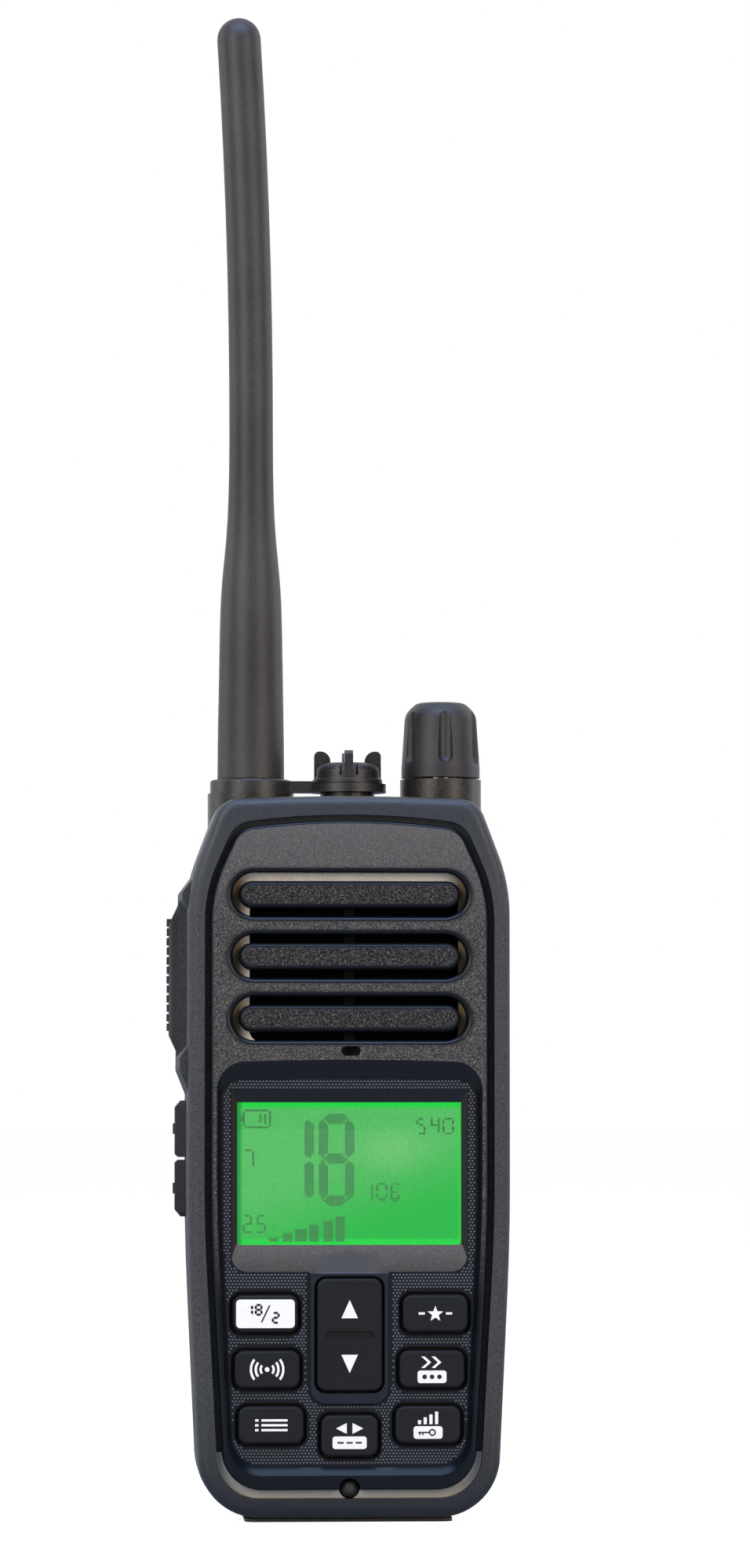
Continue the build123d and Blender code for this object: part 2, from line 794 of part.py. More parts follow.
with BuildPart() as rear_housing:
    with BuildSketch(at_depth(rear_wall_y)):
        add(body_face)
    extrude(amount=rear_depth)
    with BuildSketch(at_depth(rear_wall_y)):
        Polygon(*side_pad, align=None)
    extrude(amount=rear_depth)
    # the block above the battery
    with BuildSketch(at_depth(rear_wall_y)):
        add(body_face)
        offset(amount=-0.9)
        add(under_block_face, mode=Mode.SUBTRACT)
    extrude(amount=rear_wall_y - upper_back, taper=4)
    fillet(rear_housing.faces().sort_by(Axis.Y)[-1].edges(), 2.4)
    # bosses of the three top fittings
    for x, radius, top in (
        (antenna_x, antenna_boss_radius, antenna_boss_top),
        (knob_x, knob_boss_radius, knob_boss_top),
        (jack_x, jack_boss_radius, jack_boss_top),
    ):
        with BuildSketch(Plane.XY.offset(shoulder_z)):
            with Locations((x, fitting_y)):
                Circle(radius)
        extrude(amount=top - shoulder_z)
    # the cavity behind the parting plane and the one in the upper block
    with BuildSketch(at_depth(rear_inner_y)):
        add(inner_face)
    extrude(amount=rear_inner_y - parting_y, mode=Mode.SUBTRACT)
    with BuildSketch(at_depth(upper_back - shell_wall)):
        with Locations((0, upper_block_bottom + 3.8)):
            RectangleRounded(body_width - 25.2, block_cavity_height, 2.0, align=(Align.CENTER, Align.MIN))
    extrude(amount=upper_back - rear_wall_y, mode=Mode.SUBTRACT)
    # tubes for the case screws
    with BuildSketch(at_depth(rear_inner_y)):
        with Locations(*screw_points):
            Circle(screw_boss_radius)
    extrude(amount=rear_inner_y - parting_y)
    with BuildSketch(at_depth(upper_back)):
        with Locations(*screw_points):
            Circle(screw_radius + screw_clearance)
    extrude(amount=upper_back - parting_y, mode=Mode.SUBTRACT)
    with BuildSketch(at_depth(upper_back)):
        with Locations(*screw_points):
            Circle(screw_head_radius + screw_clearance)
    extrude(amount=upper_back - rear_wall_y + screw_head_height + 0.2, mode=Mode.SUBTRACT)
    # ribs that carry the chassis plate
    with BuildSketch(at_depth(rear_inner_y)):
        with Locations((-12, waist_z), (12, waist_z)):
            Rectangle(1.5, 70)
    extrude(amount=rear_inner_y - chassis_back)
    # bores of the top fittings
    for x, radius in ((antenna_x, socket_radius), (jack_x, jack_radius), (knob_x, bushing_radius)):
        with BuildSketch(Plane.XY.offset(socket_bottom - 0.5)):
            with Locations((x, fitting_y)):
                Circle(radius + seat_gap)
        extrude(amount=30, mode=Mode.SUBTRACT)
    # pocket for the volume control's body
    with BuildSketch(Plane.XY.offset(control_bottom - slide_gap)):
        with Locations((control_x, control_y)):
            Rectangle(control_width + slide_gap, control_depth)
    extrude(amount=control_height + slide_gap, mode=Mode.SUBTRACT)
    # openings of the talk button and the side keys
    with BuildSketch(Plane.YZ.offset(-side_root + 2.0)):
        with Locations((side_centre_y, talk_z)):
            RectangleRounded(talk_width + 2 * side_gap, talk_length + 2 * side_gap, talk_corner + side_gap)
        with Locations((side_centre_y, side_keys_z)):
            RectangleRounded(
                side_key_width + 2 * side_gap, side_keys_length + 2 * side_gap, side_key_corner + side_gap)
    extrude(amount=-8, mode=Mode.SUBTRACT)
    # slots for the battery's lugs and the spring contacts, and the one that the latch engages
    with BuildSketch(at_depth(rear_wall_y)):
        with Locations((-14, lug_z), (14, lug_z)):
            Rectangle(lug_width + 2 * slide_gap, lug_height + 2 * slide_gap)
        with Locations(*contacts):
            Circle(contact_radius + screw_clearance)
    extrude(amount=shell_wall, mode=Mode.SUBTRACT)
    with BuildSketch(Plane.XY.offset(upper_block_bottom)):
        with Locations((0, latch_y)):
            Rectangle(latch_width + 0.8, latch_thickness + 2 * slide_gap)
    extrude(amount=latch_tongue + 1.0, mode=Mode.SUBTRACT)
save(rear_housing.part, "rear_housing")

seal_ring_outer = offset(seal_outer, amount=-seat_gap)
seal_ring_inner = offset(seal_inner, amount=seat_gap)

with BuildPart() as housing_seal:
    with BuildSketch(at_depth(parting_y)):
        add(seal_ring_outer)
        add(seal_ring_inner, mode=Mode.SUBTRACT)
    extrude(amount=seal_depth - seat_gap)
save(housing_seal.part, "housing_seal")

with BuildPart() as chassis_plate:
    with BuildSketch(at_depth(chassis_front)):
        with Locations((0, waist_z)):
            RectangleRounded(2 * chassis_half, 84, 2)
        with Locations(*[(side * (chassis_half - 3), waist_z + rise) for side in (-1, 1) for rise in (-36, 36)]):
            Circle(1.5, mode=Mode.SUBTRACT)
    extrude(amount=-chassis_thickness)
save(chassis_plate.part, "chassis_plate")

head_y = rear_wall_y - screw_head_height - 0.2

with BuildPart() as case_screws:
    with BuildSketch(at_depth(head_y)):
        with Locations(*screw_points):
            Circle(screw_head_radius)
    extrude(amount=-screw_head_height)
    with BuildSketch(at_depth(head_y)):
        with Locations(*screw_points):
            Circle(screw_radius)
    extrude(amount=head_y - parting_y + screw_engagement)
    with BuildSketch(at_depth(head_y + screw_head_height)):
        with Locations(*screw_points):
            Rectangle(2.4, 0.6)
            Rectangle(0.6, 2.4)
    extrude(amount=0.8, mode=Mode.SUBTRACT)
save(case_screws.part, "case_screws")

foot_front = frame_front + 2.6
foot_back = rear_wall_y - 0.7

with BuildPart() as base_foot:
    with BuildSketch(Plane.XY):
        with Locations((0, (foot_front + foot_back) / 2)):
            RectangleRounded(foot_width, foot_back - foot_front, 2.0)
    extrude(amount=foot_height)
save(base_foot.part, "base_foot")

with BuildPart() as battery_contacts:
    with BuildSketch(at_depth(battery_front - seat_gap)):
        with Locations(*contacts):
            Circle(contact_radius)
    extrude(amount=battery_front - seat_gap - chassis_back)
save(battery_contacts.part, "battery_contacts")

# ================================================================ antenna and its socket
with BuildPart() as antenna_socket:
    with BuildSketch(Plane.XY.offset(socket_bottom)):
        with Locations((antenna_x, fitting_y)):
            Circle(socket_radius)
    extrude(amount=antenna_boss_top - 0.3 - socket_bottom)
    with BuildSketch(Plane.XY.offset(socket_bottom + 1.5)):
        with Locations((antenna_x, fitting_y)):
            Circle(connector_radius + run_gap)
    extrude(amount=20, mode=Mode.SUBTRACT)
save(antenna_socket.part, "antenna_socket")

spigot_top = whip_bottom + spigot_length

with BuildPart() as antenna_connector:
    with BuildSketch(Plane.XY.offset(connector_bottom)):
        with Locations((antenna_x, fitting_y)):
            Circle(connector_radius)
    extrude(amount=whip_bottom - connector_bottom)
    with BuildSketch(Plane.XY.offset(whip_bottom)):
        with Locations((antenna_x, fitting_y)):
            Circle(spigot_radius)
    extrude(amount=spigot_length)
save(antenna_connector.part, "antenna_connector")

# radius against height above the whip's foot: a thick root that slims down to the flexible part
whip_profile = [
    (whip_base_radius, 0.0),
    (whip_base_radius - 0.28, 20.6),
    (whip_base_radius - 0.46, 29.6),
    (whip_base_radius - 0.74, 35.1),
    (whip_thin_radius + 0.76, 41.1),
    (whip_thin_radius + 0.3, 47.1),
    (whip_thin_radius + 0.09, 53.1),
    (whip_thin_radius, whip_straight_top - whip_bottom),
]


def whip_point(share):
    """A point of the antenna's bent upper centreline, from 0 at its start to 1 at its end."""
    turn = share * whip_bend_length / whip_bend_radius
    return (
        antenna_x - whip_bend_radius * (1 - cos(turn)), fitting_y, whip_straight_top + whip_bend_radius * sin(turn))


def whip_path(start_z, share):
    """The antenna's centreline from start_z on its straight part to a share of its bent part."""
    with BuildLine() as path:
        if start_z < whip_straight_top:
            Line((antenna_x, fitting_y, start_z), whip_point(0))
        ThreePointArc(whip_point(0), whip_point(share / 2), whip_point(share))
    return path.wire()


bend_path = whip_path(whip_straight_top, 1.0)
radiator_path = whip_path(spigot_top, 0.8)

with BuildPart() as antenna_whip:
    with BuildSketch(at_depth(fitting_y)):
        with BuildLine():
            Line((antenna_x, whip_bottom), (antenna_x + whip_base_radius, whip_bottom))
            Spline(*[(antenna_x + r, whip_bottom + rise) for r, rise in whip_profile], tangents=((0, 1), (0, 1)))
            Line((antenna_x + whip_thin_radius, whip_straight_top), (antenna_x, whip_straight_top))
            Line((antenna_x, whip_straight_top), (antenna_x, whip_bottom))
        make_face()
    revolve(axis=Axis((antenna_x, fitting_y, 0), (0, 0, 1)))
    with BuildSketch(Plane.XY.offset(whip_straight_top)):
        with Locations((antenna_x, fitting_y)):
            Circle(whip_thin_radius)
    sweep(path=bend_path)
    with Locations(Location(whip_point(1))):
        Sphere(whip_thin_radius)
    # seat of the connector's spigot and the bore round the radiator
    with BuildSketch(Plane.XY.offset(whip_bottom)):
        with Locations((antenna_x, fitting_y)):
            Circle(spigot_radius)
    extrude(amount=spigot_length, mode=Mode.SUBTRACT)
    with BuildSketch(Plane.XY.offset(spigot_top)):
        with Locations((antenna_x, fitting_y)):
            Circle(radiator_radius + 0.1)
    sweep(path=radiator_path, mode=Mode.SUBTRACT)
save(antenna_whip.part, "antenna_whip")

with BuildPart() as antenna_radiator:
    with BuildSketch(Plane.XY.offset(spigot_top)):
        with Locations((antenna_x, fitting_y)):
            Circle(radiator_radius)
    sweep(path=radiator_path)
save(antenna_radiator.part, "antenna_radiator")

with BuildPart() as antenna_seal:
    with BuildSketch(Plane.XY.offset(antenna_boss_top + 0.1)):
        with Locations((antenna_x, fitting_y)):
            Circle(connector_radius + antenna_seal_width)
            Circle(connector_radius + 0.03, mode=Mode.SUBTRACT)
    extrude(amount=antenna_seal_thickness)
save(antenna_seal.part, "antenna_seal")

# ================================================================ accessory jack, its cap and the tether
plug_bottom = cap_bottom - plug_length

with BuildPart() as jack_socket:
    with BuildSketch(Plane.XY.offset(plug_bottom - 3)):
        with Locations((jack_x, fitting_y)):
            Circle(jack_radius)
    extrude(amount=jack_boss_top - 0.2 - plug_bottom + 3)
    with BuildSketch(Plane.XY.offset(plug_bottom - 1)):
        with Locations((jack_x, fitting_y)):
            Circle(plug_radius + run_gap)
    extrude(amount=20, mode=Mode.SUBTRACT)
save(jack_socket.part, "jack_socket")

tether_antenna_hole = connector_radius + antenna_seal_width + 0.2

with BuildPart() as cap_tether:
    with BuildSketch(Plane.XY.offset(antenna_boss_top + seat_gap)):
        with Locations((antenna_x, fitting_y)):
            Circle(tether_ring_radius)
            Circle(tether_antenna_hole, mode=Mode.SUBTRACT)
    extrude(amount=tether_top - antenna_boss_top - seat_gap)
    fillet(cap_tether.faces().sort_by(Axis.Z)[-1].outer_wire().edges(), 0.5)
    with BuildSketch(Plane.XY.offset(jack_boss_top + seat_gap)):
        with Locations((jack_x, fitting_y)):
            Circle(tether_jack_radius)
        with Locations(((antenna_x + jack_x) / 2, fitting_y)):
            Rectangle(jack_x - antenna_x - 12.4, tether_strap_width)
        with Locations((jack_x, fitting_y)):
            Circle(plug_radius + cap_seal_width + 0.7, mode=Mode.SUBTRACT)
        with Locations((antenna_x, fitting_y)):
            Circle(tether_antenna_hole, mode=Mode.SUBTRACT)
    extrude(amount=tether_jack_top - jack_boss_top - seat_gap)
    # the neck is as thick as the ring, up to where the cap turns
    with BuildSketch(Plane.XY.offset(jack_boss_top + seat_gap)):
        with Locations(((antenna_x + jack_x) / 2, fitting_y)):
            Rectangle(jack_x - antenna_x - 12.4, tether_strap_width)
        with Locations((jack_x, fitting_y)):
            Circle(cap_flange_radius + 0.35, mode=Mode.SUBTRACT)
        with Locations((antenna_x, fitting_y)):
            Circle(tether_antenna_hole, mode=Mode.SUBTRACT)
    extrude(amount=tether_top - 0.25 - jack_boss_top - seat_gap)
save(cap_tether.part, "cap_tether")

dome_bottom = cap_bottom + cap_flange_thickness

with BuildPart() as jack_cap:
    with BuildSketch(Plane.XY.offset(cap_bottom)):
        with Locations((jack_x, fitting_y)):
            Circle(cap_flange_radius)
    extrude(amount=cap_flange_thickness)
    fillet(jack_cap.faces().sort_by(Axis.Z)[-1].edges(), 0.25)
    with BuildSketch(Plane.XY.offset(dome_bottom)):
        with Locations((jack_x, fitting_y)):
            Circle(cap_dome_radius)
    extrude(amount=cap_dome_height)
    fillet(jack_cap.faces().sort_by(Axis.Z)[-1].edges(), 1.7)
    # slots in the dome, either side of each fin
    for side in (-13, 13):
        with Locations((jack_x, fitting_y, dome_bottom + 0.5)):
            with PolarLocations(cap_dome_radius, 4, start_angle=side):
                Box(1.4, 0.7, 2.0, align=(Align.CENTER, Align.CENTER, Align.MIN), mode=Mode.SUBTRACT)
    # four finger fins
    with Locations((jack_x, fitting_y, dome_bottom)):
        with PolarLocations(cap_dome_radius + 0.1 - cap_fin_length / 2, 4):
            Box(cap_fin_length, cap_fin_thickness, cap_fin_height, align=(Align.CENTER, Align.CENTER, Align.MIN))
    fin_crest = (jack_x, fitting_y, dome_bottom + cap_fin_height)
    fillet(jack_cap.edges().group_by(Axis.Z)[-1].sort_by_distance(fin_crest)[:4], 1.8)
    fillet(jack_cap.edges().group_by(Axis.Z)[-1].sort_by_distance(fin_crest)[-4:], 0.9)
    # the plug that screws into the jack
    with BuildSketch(Plane.XY.offset(plug_bottom)):
        with Locations((jack_x, fitting_y)):
            Circle(plug_radius)
    extrude(amount=plug_length)
save(jack_cap.part, "jack_cap")

with BuildPart() as cap_seal:
    with BuildSketch(Plane.XY.offset(jack_boss_top + 0.1)):
        with Locations((jack_x, fitting_y)):
            Circle(plug_radius + cap_seal_width)
            Circle(plug_radius + 0.03, mode=Mode.SUBTRACT)
    extrude(amount=cap_seal_thickness)
save(cap_seal.part, "cap_seal")

# ================================================================ on-off and volume control
with BuildPart() as volume_control:
    with BuildSketch(Plane.XY.offset(control_bottom)):
        with Locations((control_x, control_y)):
            RectangleRounded(control_width, control_depth, 0.6)
    extrude(amount=control_height)
    with BuildSketch(Plane.XY.offset(control_bottom + control_height)):
        with Locations((knob_x, fitting_y)):
            Circle(bushing_radius)
    extrude(amount=knob_boss_top - 0.2 - control_bottom - control_height)
    with BuildSketch(Plane.XY.offset(shaft_bottom - seat_gap)):
        with Locations((knob_x, fitting_y)):
            Circle(shaft_radius + run_gap)
    extrude(amount=30, mode=Mode.SUBTRACT)
save(volume_control.part, "volume_control")

with BuildPart() as volume_shaft:
    with BuildSketch(Plane.XY.offset(shaft_bottom)):
        with Locations((knob_x, fitting_y)):
            Circle(shaft_radius)
    extrude(amount=shaft_top - shaft_bottom)
    chamfer(volume_shaft.faces().sort_by(Axis.Z)[-1].edges(), 0.4)
save(volume_shaft.part, "volume_shaft")

knob_edge = knob_x + knob_radius
knob_rim = knob_x + knob_top_radius

with BuildPart() as volume_knob:
    with BuildSketch(at_depth(fitting_y)):
        with BuildLine():
            Line((knob_x, knob_bottom), (knob_edge, knob_bottom))
            Line((knob_edge, knob_bottom), (knob_edge, knob_bottom + 1.8))
            Line((knob_edge, knob_bottom + 1.8), (knob_rim, knob_top - 4.4))
            Spline(
                (knob_rim, knob_top - 4.4), (knob_rim - 0.45, knob_top - 1.95), (knob_rim - 1.6, knob_top - 0.65),
                (knob_rim - 3.3, knob_top),
                tangents=((-0.06, 1), (-1, 0.05)))
            Line((knob_rim - 3.3, knob_top), (knob_x, knob_top + 0.15))
            Line((knob_x, knob_top + 0.15), (knob_x, knob_bottom))
        make_face()
    revolve(axis=Axis((knob_x, fitting_y, 0), (0, 0, 1)))
    # finger flutes, closed at their lower ends
    with Locations((knob_x, fitting_y, flute_bottom)):
        with PolarLocations(knob_radius + 0.4, knob_flutes, start_angle=-86):
            Cylinder(flute_radius, knob_height, align=(Align.CENTER, Align.CENTER, Align.MIN), mode=Mode.SUBTRACT)
            Sphere(flute_radius, mode=Mode.SUBTRACT)
    # hollow underside with the hub left standing
    with BuildSketch(Plane.XY.offset(knob_bottom)):
        with Locations((knob_x, fitting_y)):
            Circle(knob_radius - knob_skirt_wall)
            Circle(shaft_radius + hub_wall, mode=Mode.SUBTRACT)
    extrude(amount=knob_skirt_depth, mode=Mode.SUBTRACT)
    with BuildSketch(Plane.XY.offset(knob_bottom)):
        with Locations((knob_x, fitting_y)):
            Circle(shaft_radius)
    extrude(amount=shaft_top - knob_bottom, mode=Mode.SUBTRACT)
save(volume_knob.part, "volume_knob")

# ================================================================ talk button, side keys and their switches
talk_half = talk_length / 2
talk_profile = [
    (-side_root, talk_z - talk_half),
    (talk_slope_depth - talk_face, talk_z - talk_half),
    (-talk_face, talk_z - talk_half + talk_slope_length),
    (-talk_face, talk_z + talk_half - talk_slope_length),
    (talk_slope_depth - talk_face, talk_z + talk_half),
    (-side_root, talk_z + talk_half),
]
bump_columns = ((-2.4, 0.0), (-0.8, 0.5), (0.8, 0.0), (2.4, 0.5))
# from the side wall's inner face to a plunger's tip, which stops just short of its switch when pressed in
plunger_room = side_root - side_flange_thickness - side_board_x - side_board_thickness / 2 - switch_height - 0.1

with BuildPart() as talk_button:
    with BuildSketch(at_depth(side_centre_y + talk_width / 2)):
        Polygon(*talk_profile, align=None)
    extrude(amount=talk_width)
    with BuildSketch(Plane.YZ.offset(-side_root)):
        with Locations((side_centre_y, talk_z)):
            RectangleRounded(talk_width, talk_length, talk_corner)
    extrude(amount=-10, mode=Mode.INTERSECT)
    fillet(talk_button.faces().sort_by(Axis.X)[0].edges(), 0.5)
    # staggered grip bumps
    with Locations(*[
        (-talk_face, side_centre_y + column, talk_z + (index - 2.5 + shift) * bump_pitch)
        for column, shift in bump_columns for index in range(6)
    ]):
        Box(bump_height * 2, 0.8, 1.3)
    # flange that keeps the button in its opening
    with Locations((side_flange_thickness / 2 - side_root, side_centre_y, talk_z - talk_half - side_flange)):
        Box(side_flange_thickness, talk_width + 2 * (side_gap + 0.3), talk_length + side_flange - 4.2,
            align=(Align.CENTER, Align.CENTER, Align.MIN))
    # plunger over the switch
    with Locations((side_flange_thickness - side_root, side_centre_y, talk_z)):
        Box(plunger_room - talk_travel, 3.0, 3.0, align=(Align.MIN, Align.CENTER, Align.CENTER))
save(talk_button.part, "talk_button")

for name, key_z, outward in (("side_key_upper", side_key_z[0], 1), ("side_key_lower", side_key_z[1], -1)):
    outer = key_z + outward * side_key_length / 2
    inner = key_z - outward * side_key_length / 2
    with BuildPart() as side_key:
        with BuildSketch(at_depth(side_centre_y + side_key_width / 2)):
            Polygon(
                (-side_root, inner),
                (0.5 - side_key_face, inner),
                (-side_key_face, inner + outward * 0.5),
                (-side_key_face, outer - outward * 1.2),
                (1.0 - side_key_face, outer),
                (-side_root, outer),
                align=None)
        extrude(amount=side_key_width)
        with BuildSketch(Plane.YZ.offset(-side_root)):
            with Locations((side_centre_y, side_keys_z)):
                RectangleRounded(side_key_width, side_keys_length, side_key_corner)
        extrude(amount=-10, mode=Mode.INTERSECT)
        with Locations((-side_key_face, side_centre_y, key_z)):
            Box(0.7, 2.4, 1.9)
        with Locations((side_flange_thickness / 2 - side_root, side_centre_y, key_z + outward * side_flange / 2)):
            Box(side_flange_thickness, side_key_width + 2 * side_flange, side_key_length + side_flange)
        with Locations((side_flange_thickness - side_root, side_centre_y, key_z)):
            Box(plunger_room - side_key_travel, 2.4, 2.4, align=(Align.MIN, Align.CENTER, Align.CENTER))
    save(side_key.part, name)

board_top = talk_z + 4.45
board_bottom = side_key_z[1] - 6.35

with BuildPart() as side_switches:
    with Locations((-side_board_x, side_centre_y, (board_top + board_bottom) / 2)):
        Box(side_board_thickness, rear_inner_y - parting_y - 1.0, board_top - board_bottom)
    for switch_z in (talk_z, *side_key_z):
        with Locations((-side_board_x - (side_board_thickness + switch_height) / 2, side_centre_y, switch_z)):
            Box(switch_height, switch_width, switch_width)
save(side_switches.part, "side_switches")

# ================================================================ battery pack
cavity_bottom = battery_bottom + battery_wall
cavity_top = battery_top - battery_wall - 8.0
battery_face = offset(body_face, amount=-battery_inset)
battery_inner_face = offset(body_face, amount=-battery_inset - battery_wall)
battery_body_face = below(battery_face, battery_top) - below(battery_face, battery_bottom)
cavity_face = below(battery_inner_face, cavity_top) - below(battery_inner_face, cavity_bottom)
cover_face = offset(cavity_face, amount=-seat_gap)
lip_outer_face = offset(body_face, amount=-battery_inset - 0.5)
lip_face = below(lip_outer_face, battery_top - 0.5) - below(lip_outer_face, battery_bottom + 0.5) - cavity_face
well_bottom = battery_top - latch_roof - latch_well - 0.2

with BuildPart() as battery_case:
    with BuildSketch(at_depth(battery_front)):
        add(battery_body_face)
    extrude(amount=battery_front - battery_back, taper=2)
    fillet(battery_case.faces().sort_by(Axis.Y)[-1].edges(), 2.6)
    with BuildSketch(at_depth(battery_front)):
        add(cavity_face)
    extrude(amount=battery_front - battery_back + battery_wall, mode=Mode.SUBTRACT)
    # low lip all round that closes the joint with the rear housing
    with BuildSketch(at_depth(battery_front)):
        add(lip_face)
    extrude(amount=battery_gap - seat_gap)
    # foot level with the base foot, and the well for the latch
    with Locations((0, (battery_front + battery_back) / 2, 0)):
        Box(30.0, 6.0, battery_bottom + 0.5, align=(Align.CENTER, Align.CENTER, Align.MIN))
    with Locations((0, latch_y, battery_top)):
        Box(latch_width + 2 * slide_gap, latch_thickness + 2 * slide_gap, battery_top - well_bottom,
            align=(Align.CENTER, Align.CENTER, Align.MAX), mode=Mode.SUBTRACT)
    with Locations((0, latch_y, battery_top - latch_roof)):
        Box(latch_width + 2 * slide_gap, 2 * (battery_back - latch_y), battery_top - latch_roof - well_bottom,
            align=(Align.CENTER, Align.MIN, Align.MAX), mode=Mode.SUBTRACT)
    # lugs that hook into the rear wall
    with Locations((-14, rear_wall_y - lug_reach, lug_z), (14, rear_wall_y - lug_reach, lug_z)):
        Box(lug_width, lug_reach + battery_gap + 1.3, lug_height, align=(Align.CENTER, Align.MIN, Align.CENTER))
save(battery_case.part, "battery_case")

with BuildPart() as battery_cover:
    with BuildSketch(at_depth(battery_front)):
        add(cover_face)
        with Locations(*contacts):
            Rectangle(3.0, 6.0, mode=Mode.SUBTRACT)
    extrude(amount=-battery_cover_thickness)
save(battery_cover.part, "battery_cover")

cell_front = battery_front + battery_cover_thickness + 0.1
cell_depth = battery_back - battery_wall - 0.1 - cell_front
cell_width = body_foot_half - battery_inset - battery_wall - 2.9

with BuildPart() as battery_cells:
    with Locations(*[(side * (cell_width + 0.9) / 2, cell_front, cavity_bottom + 12.6) for side in (-1, 1)]):
        Box(cell_width, cell_depth, cell_height, align=(Align.CENTER, Align.MIN, Align.MIN))
    fillet(battery_cells.edges().filter_by(Axis.Z), 2.5)
save(battery_cells.part, "battery_cells")

with BuildPart() as battery_board:
    with Locations((0, cell_front, cavity_bottom + 9.2)):
        Box(30, 1.0, 5.6, align=(Align.CENTER, Align.MIN, Align.CENTER))
    # contact plates let into the cover
    with BuildSketch(at_depth(battery_front)):
        with Locations(*contacts):
            Rectangle(2.9, 5.9)
    extrude(amount=-0.6)
save(battery_board.part, "battery_board")

latch_bottom = well_bottom + 0.3 + latch_travel + 0.1
latch_rib_pitch = 1.0

with BuildPart() as battery_latch:
    # tongue that reaches up into the upper block
    with Locations((0, latch_y, latch_bottom)):
        Box(latch_width, latch_thickness, battery_top + latch_tongue - latch_bottom,
            align=(Align.CENTER, Align.CENTER, Align.MIN))
    # thumb pad on the back
    with Locations((0, latch_y, latch_bottom)):
        Box(latch_width, battery_back + 0.2 - latch_y, latch_pad_height, align=(Align.CENTER, Align.MIN, Align.MIN))
    with Locations(*[(0, battery_back + 0.2, latch_bottom + 1.0 + latch_rib_pitch * row) for row in range(3)]):
        Box(latch_width - 2.0, 0.7, 0.45)
save(battery_latch.part, "battery_latch")

with BuildPart() as latch_spring:
    with Locations((-3.5, latch_y, well_bottom + 0.1), (3.5, latch_y, well_bottom + 0.1)):
        Cylinder(latch_spring_radius, latch_bottom - well_bottom - 0.2, align=(Align.CENTER, Align.CENTER, Align.MIN))
save(latch_spring.part, "latch_spring")

# ================================================================ belt clip on the back of the battery
bracket_back = battery_back + bracket_thickness

with BuildPart() as clip_bracket:
    with BuildSketch(at_depth(battery_back)):
        with Locations((0, clip_pin_z - 3.0)):
            RectangleRounded(17.0, 13.0, 1.5)
    extrude(amount=-bracket_thickness)
    with Locations((-ear_x, bracket_back, clip_pin_z), (ear_x, bracket_back, clip_pin_z)):
        Box(ear_width, clip_pin_y - bracket_back, 2 * ear_radius, align=(Align.CENTER, Align.MIN, Align.CENTER))
    with Locations((-ear_x, clip_pin_y, clip_pin_z), (ear_x, clip_pin_y, clip_pin_z)):
        Cylinder(ear_radius, ear_width, rotation=(0, 90, 0))
    with Locations((0, clip_pin_y, clip_pin_z)):
        Cylinder(clip_pin_radius + seat_gap, 2 * clip_width, rotation=(0, 90, 0), mode=Mode.SUBTRACT)
    with BuildSketch(at_depth(bracket_back)):
        with Locations((-clip_screw_x, clip_screw_z), (clip_screw_x, clip_screw_z)):
            Circle(clip_screw_radius + 0.1)
    extrude(amount=bracket_thickness, mode=Mode.SUBTRACT)
save(clip_bracket.part, "clip_bracket")

with BuildPart() as clip_screws:
    with BuildSketch(at_depth(battery_back)):
        with Locations((-clip_screw_x, clip_screw_z), (clip_screw_x, clip_screw_z)):
            Circle(clip_screw_radius)
    extrude(amount=-bracket_thickness)
    with BuildSketch(at_depth(bracket_back)):
        with Locations((-clip_screw_x, clip_screw_z), (clip_screw_x, clip_screw_z)):
            Circle(clip_screw_radius + 0.3)
    extrude(amount=-0.8)
    with BuildSketch(at_depth(bracket_back + 0.8)):
        with Locations((-clip_screw_x, clip_screw_z), (clip_screw_x, clip_screw_z)):
            Rectangle(2.0, 0.5)
    extrude(amount=0.4, mode=Mode.SUBTRACT)
save(clip_screws.part, "clip_screws")

with BuildPart() as clip_pin:
    with Locations((0, clip_pin_y, clip_pin_z)):
        Cylinder(clip_pin_radius, clip_width + 0.6, rotation=(0, 90, 0))
save(clip_pin.part, "clip_pin")

clip_outer_y = clip_inner_y + clip_thickness
clip_step = 2.2
knuckle_width = clip_width / 2 - ear_x - ear_width / 2 - slide_gap
knuckle_x = (clip_width - knuckle_width) / 2

with BuildPart() as belt_clip:
    with BuildSketch(Plane.YZ.offset(-clip_width / 2)):
        with BuildLine():
            Polyline(
                (clip_inner_y + clip_step + 0.4, clip_top),
                (clip_outer_y + clip_step + 0.4, clip_top),
                (clip_outer_y + clip_step, clip_top - 6.0),
                (clip_outer_y + clip_step, clip_pin_z - 4.0),
                (clip_outer_y, clip_pin_z - 14.0),
                (clip_outer_y, clip_bottom + 9.0),
                (clip_outer_y - clip_lip + 0.8, clip_bottom + 2.0),
                (clip_outer_y - clip_lip + 1.0, clip_bottom),
                (clip_outer_y - clip_lip - 0.8, clip_bottom),
                (clip_outer_y - clip_lip - 1.2, clip_bottom + 2.4),
                (clip_inner_y, clip_bottom + 9.6),
                (clip_inner_y, clip_pin_z - 13.6),
                (clip_inner_y + clip_step, clip_pin_z - 3.6),
                (clip_inner_y + clip_step, clip_top - 6.0),
                close=True,
            )
        make_face()
    extrude(amount=clip_width)
    fillet(belt_clip.edges().filter_by(Axis.Y).group_by(Axis.Z)[-1], 3.0)
    # knuckles outside the bracket's ears
    with Locations((-knuckle_x, clip_pin_y, clip_pin_z), (knuckle_x, clip_pin_y, clip_pin_z)):
        Cylinder(ear_radius - 0.2, knuckle_width, rotation=(0, 90, 0))
        Box(knuckle_width, clip_inner_y + clip_step + 1.4 - clip_pin_y, 3.6,
            align=(Align.CENTER, Align.MIN, Align.CENTER))
    with Locations((0, clip_pin_y, clip_pin_z)):
        Cylinder(clip_pin_radius + run_gap, 2 * clip_width, rotation=(0, 90, 0), mode=Mode.SUBTRACT)
save(belt_clip.part, "belt_clip")

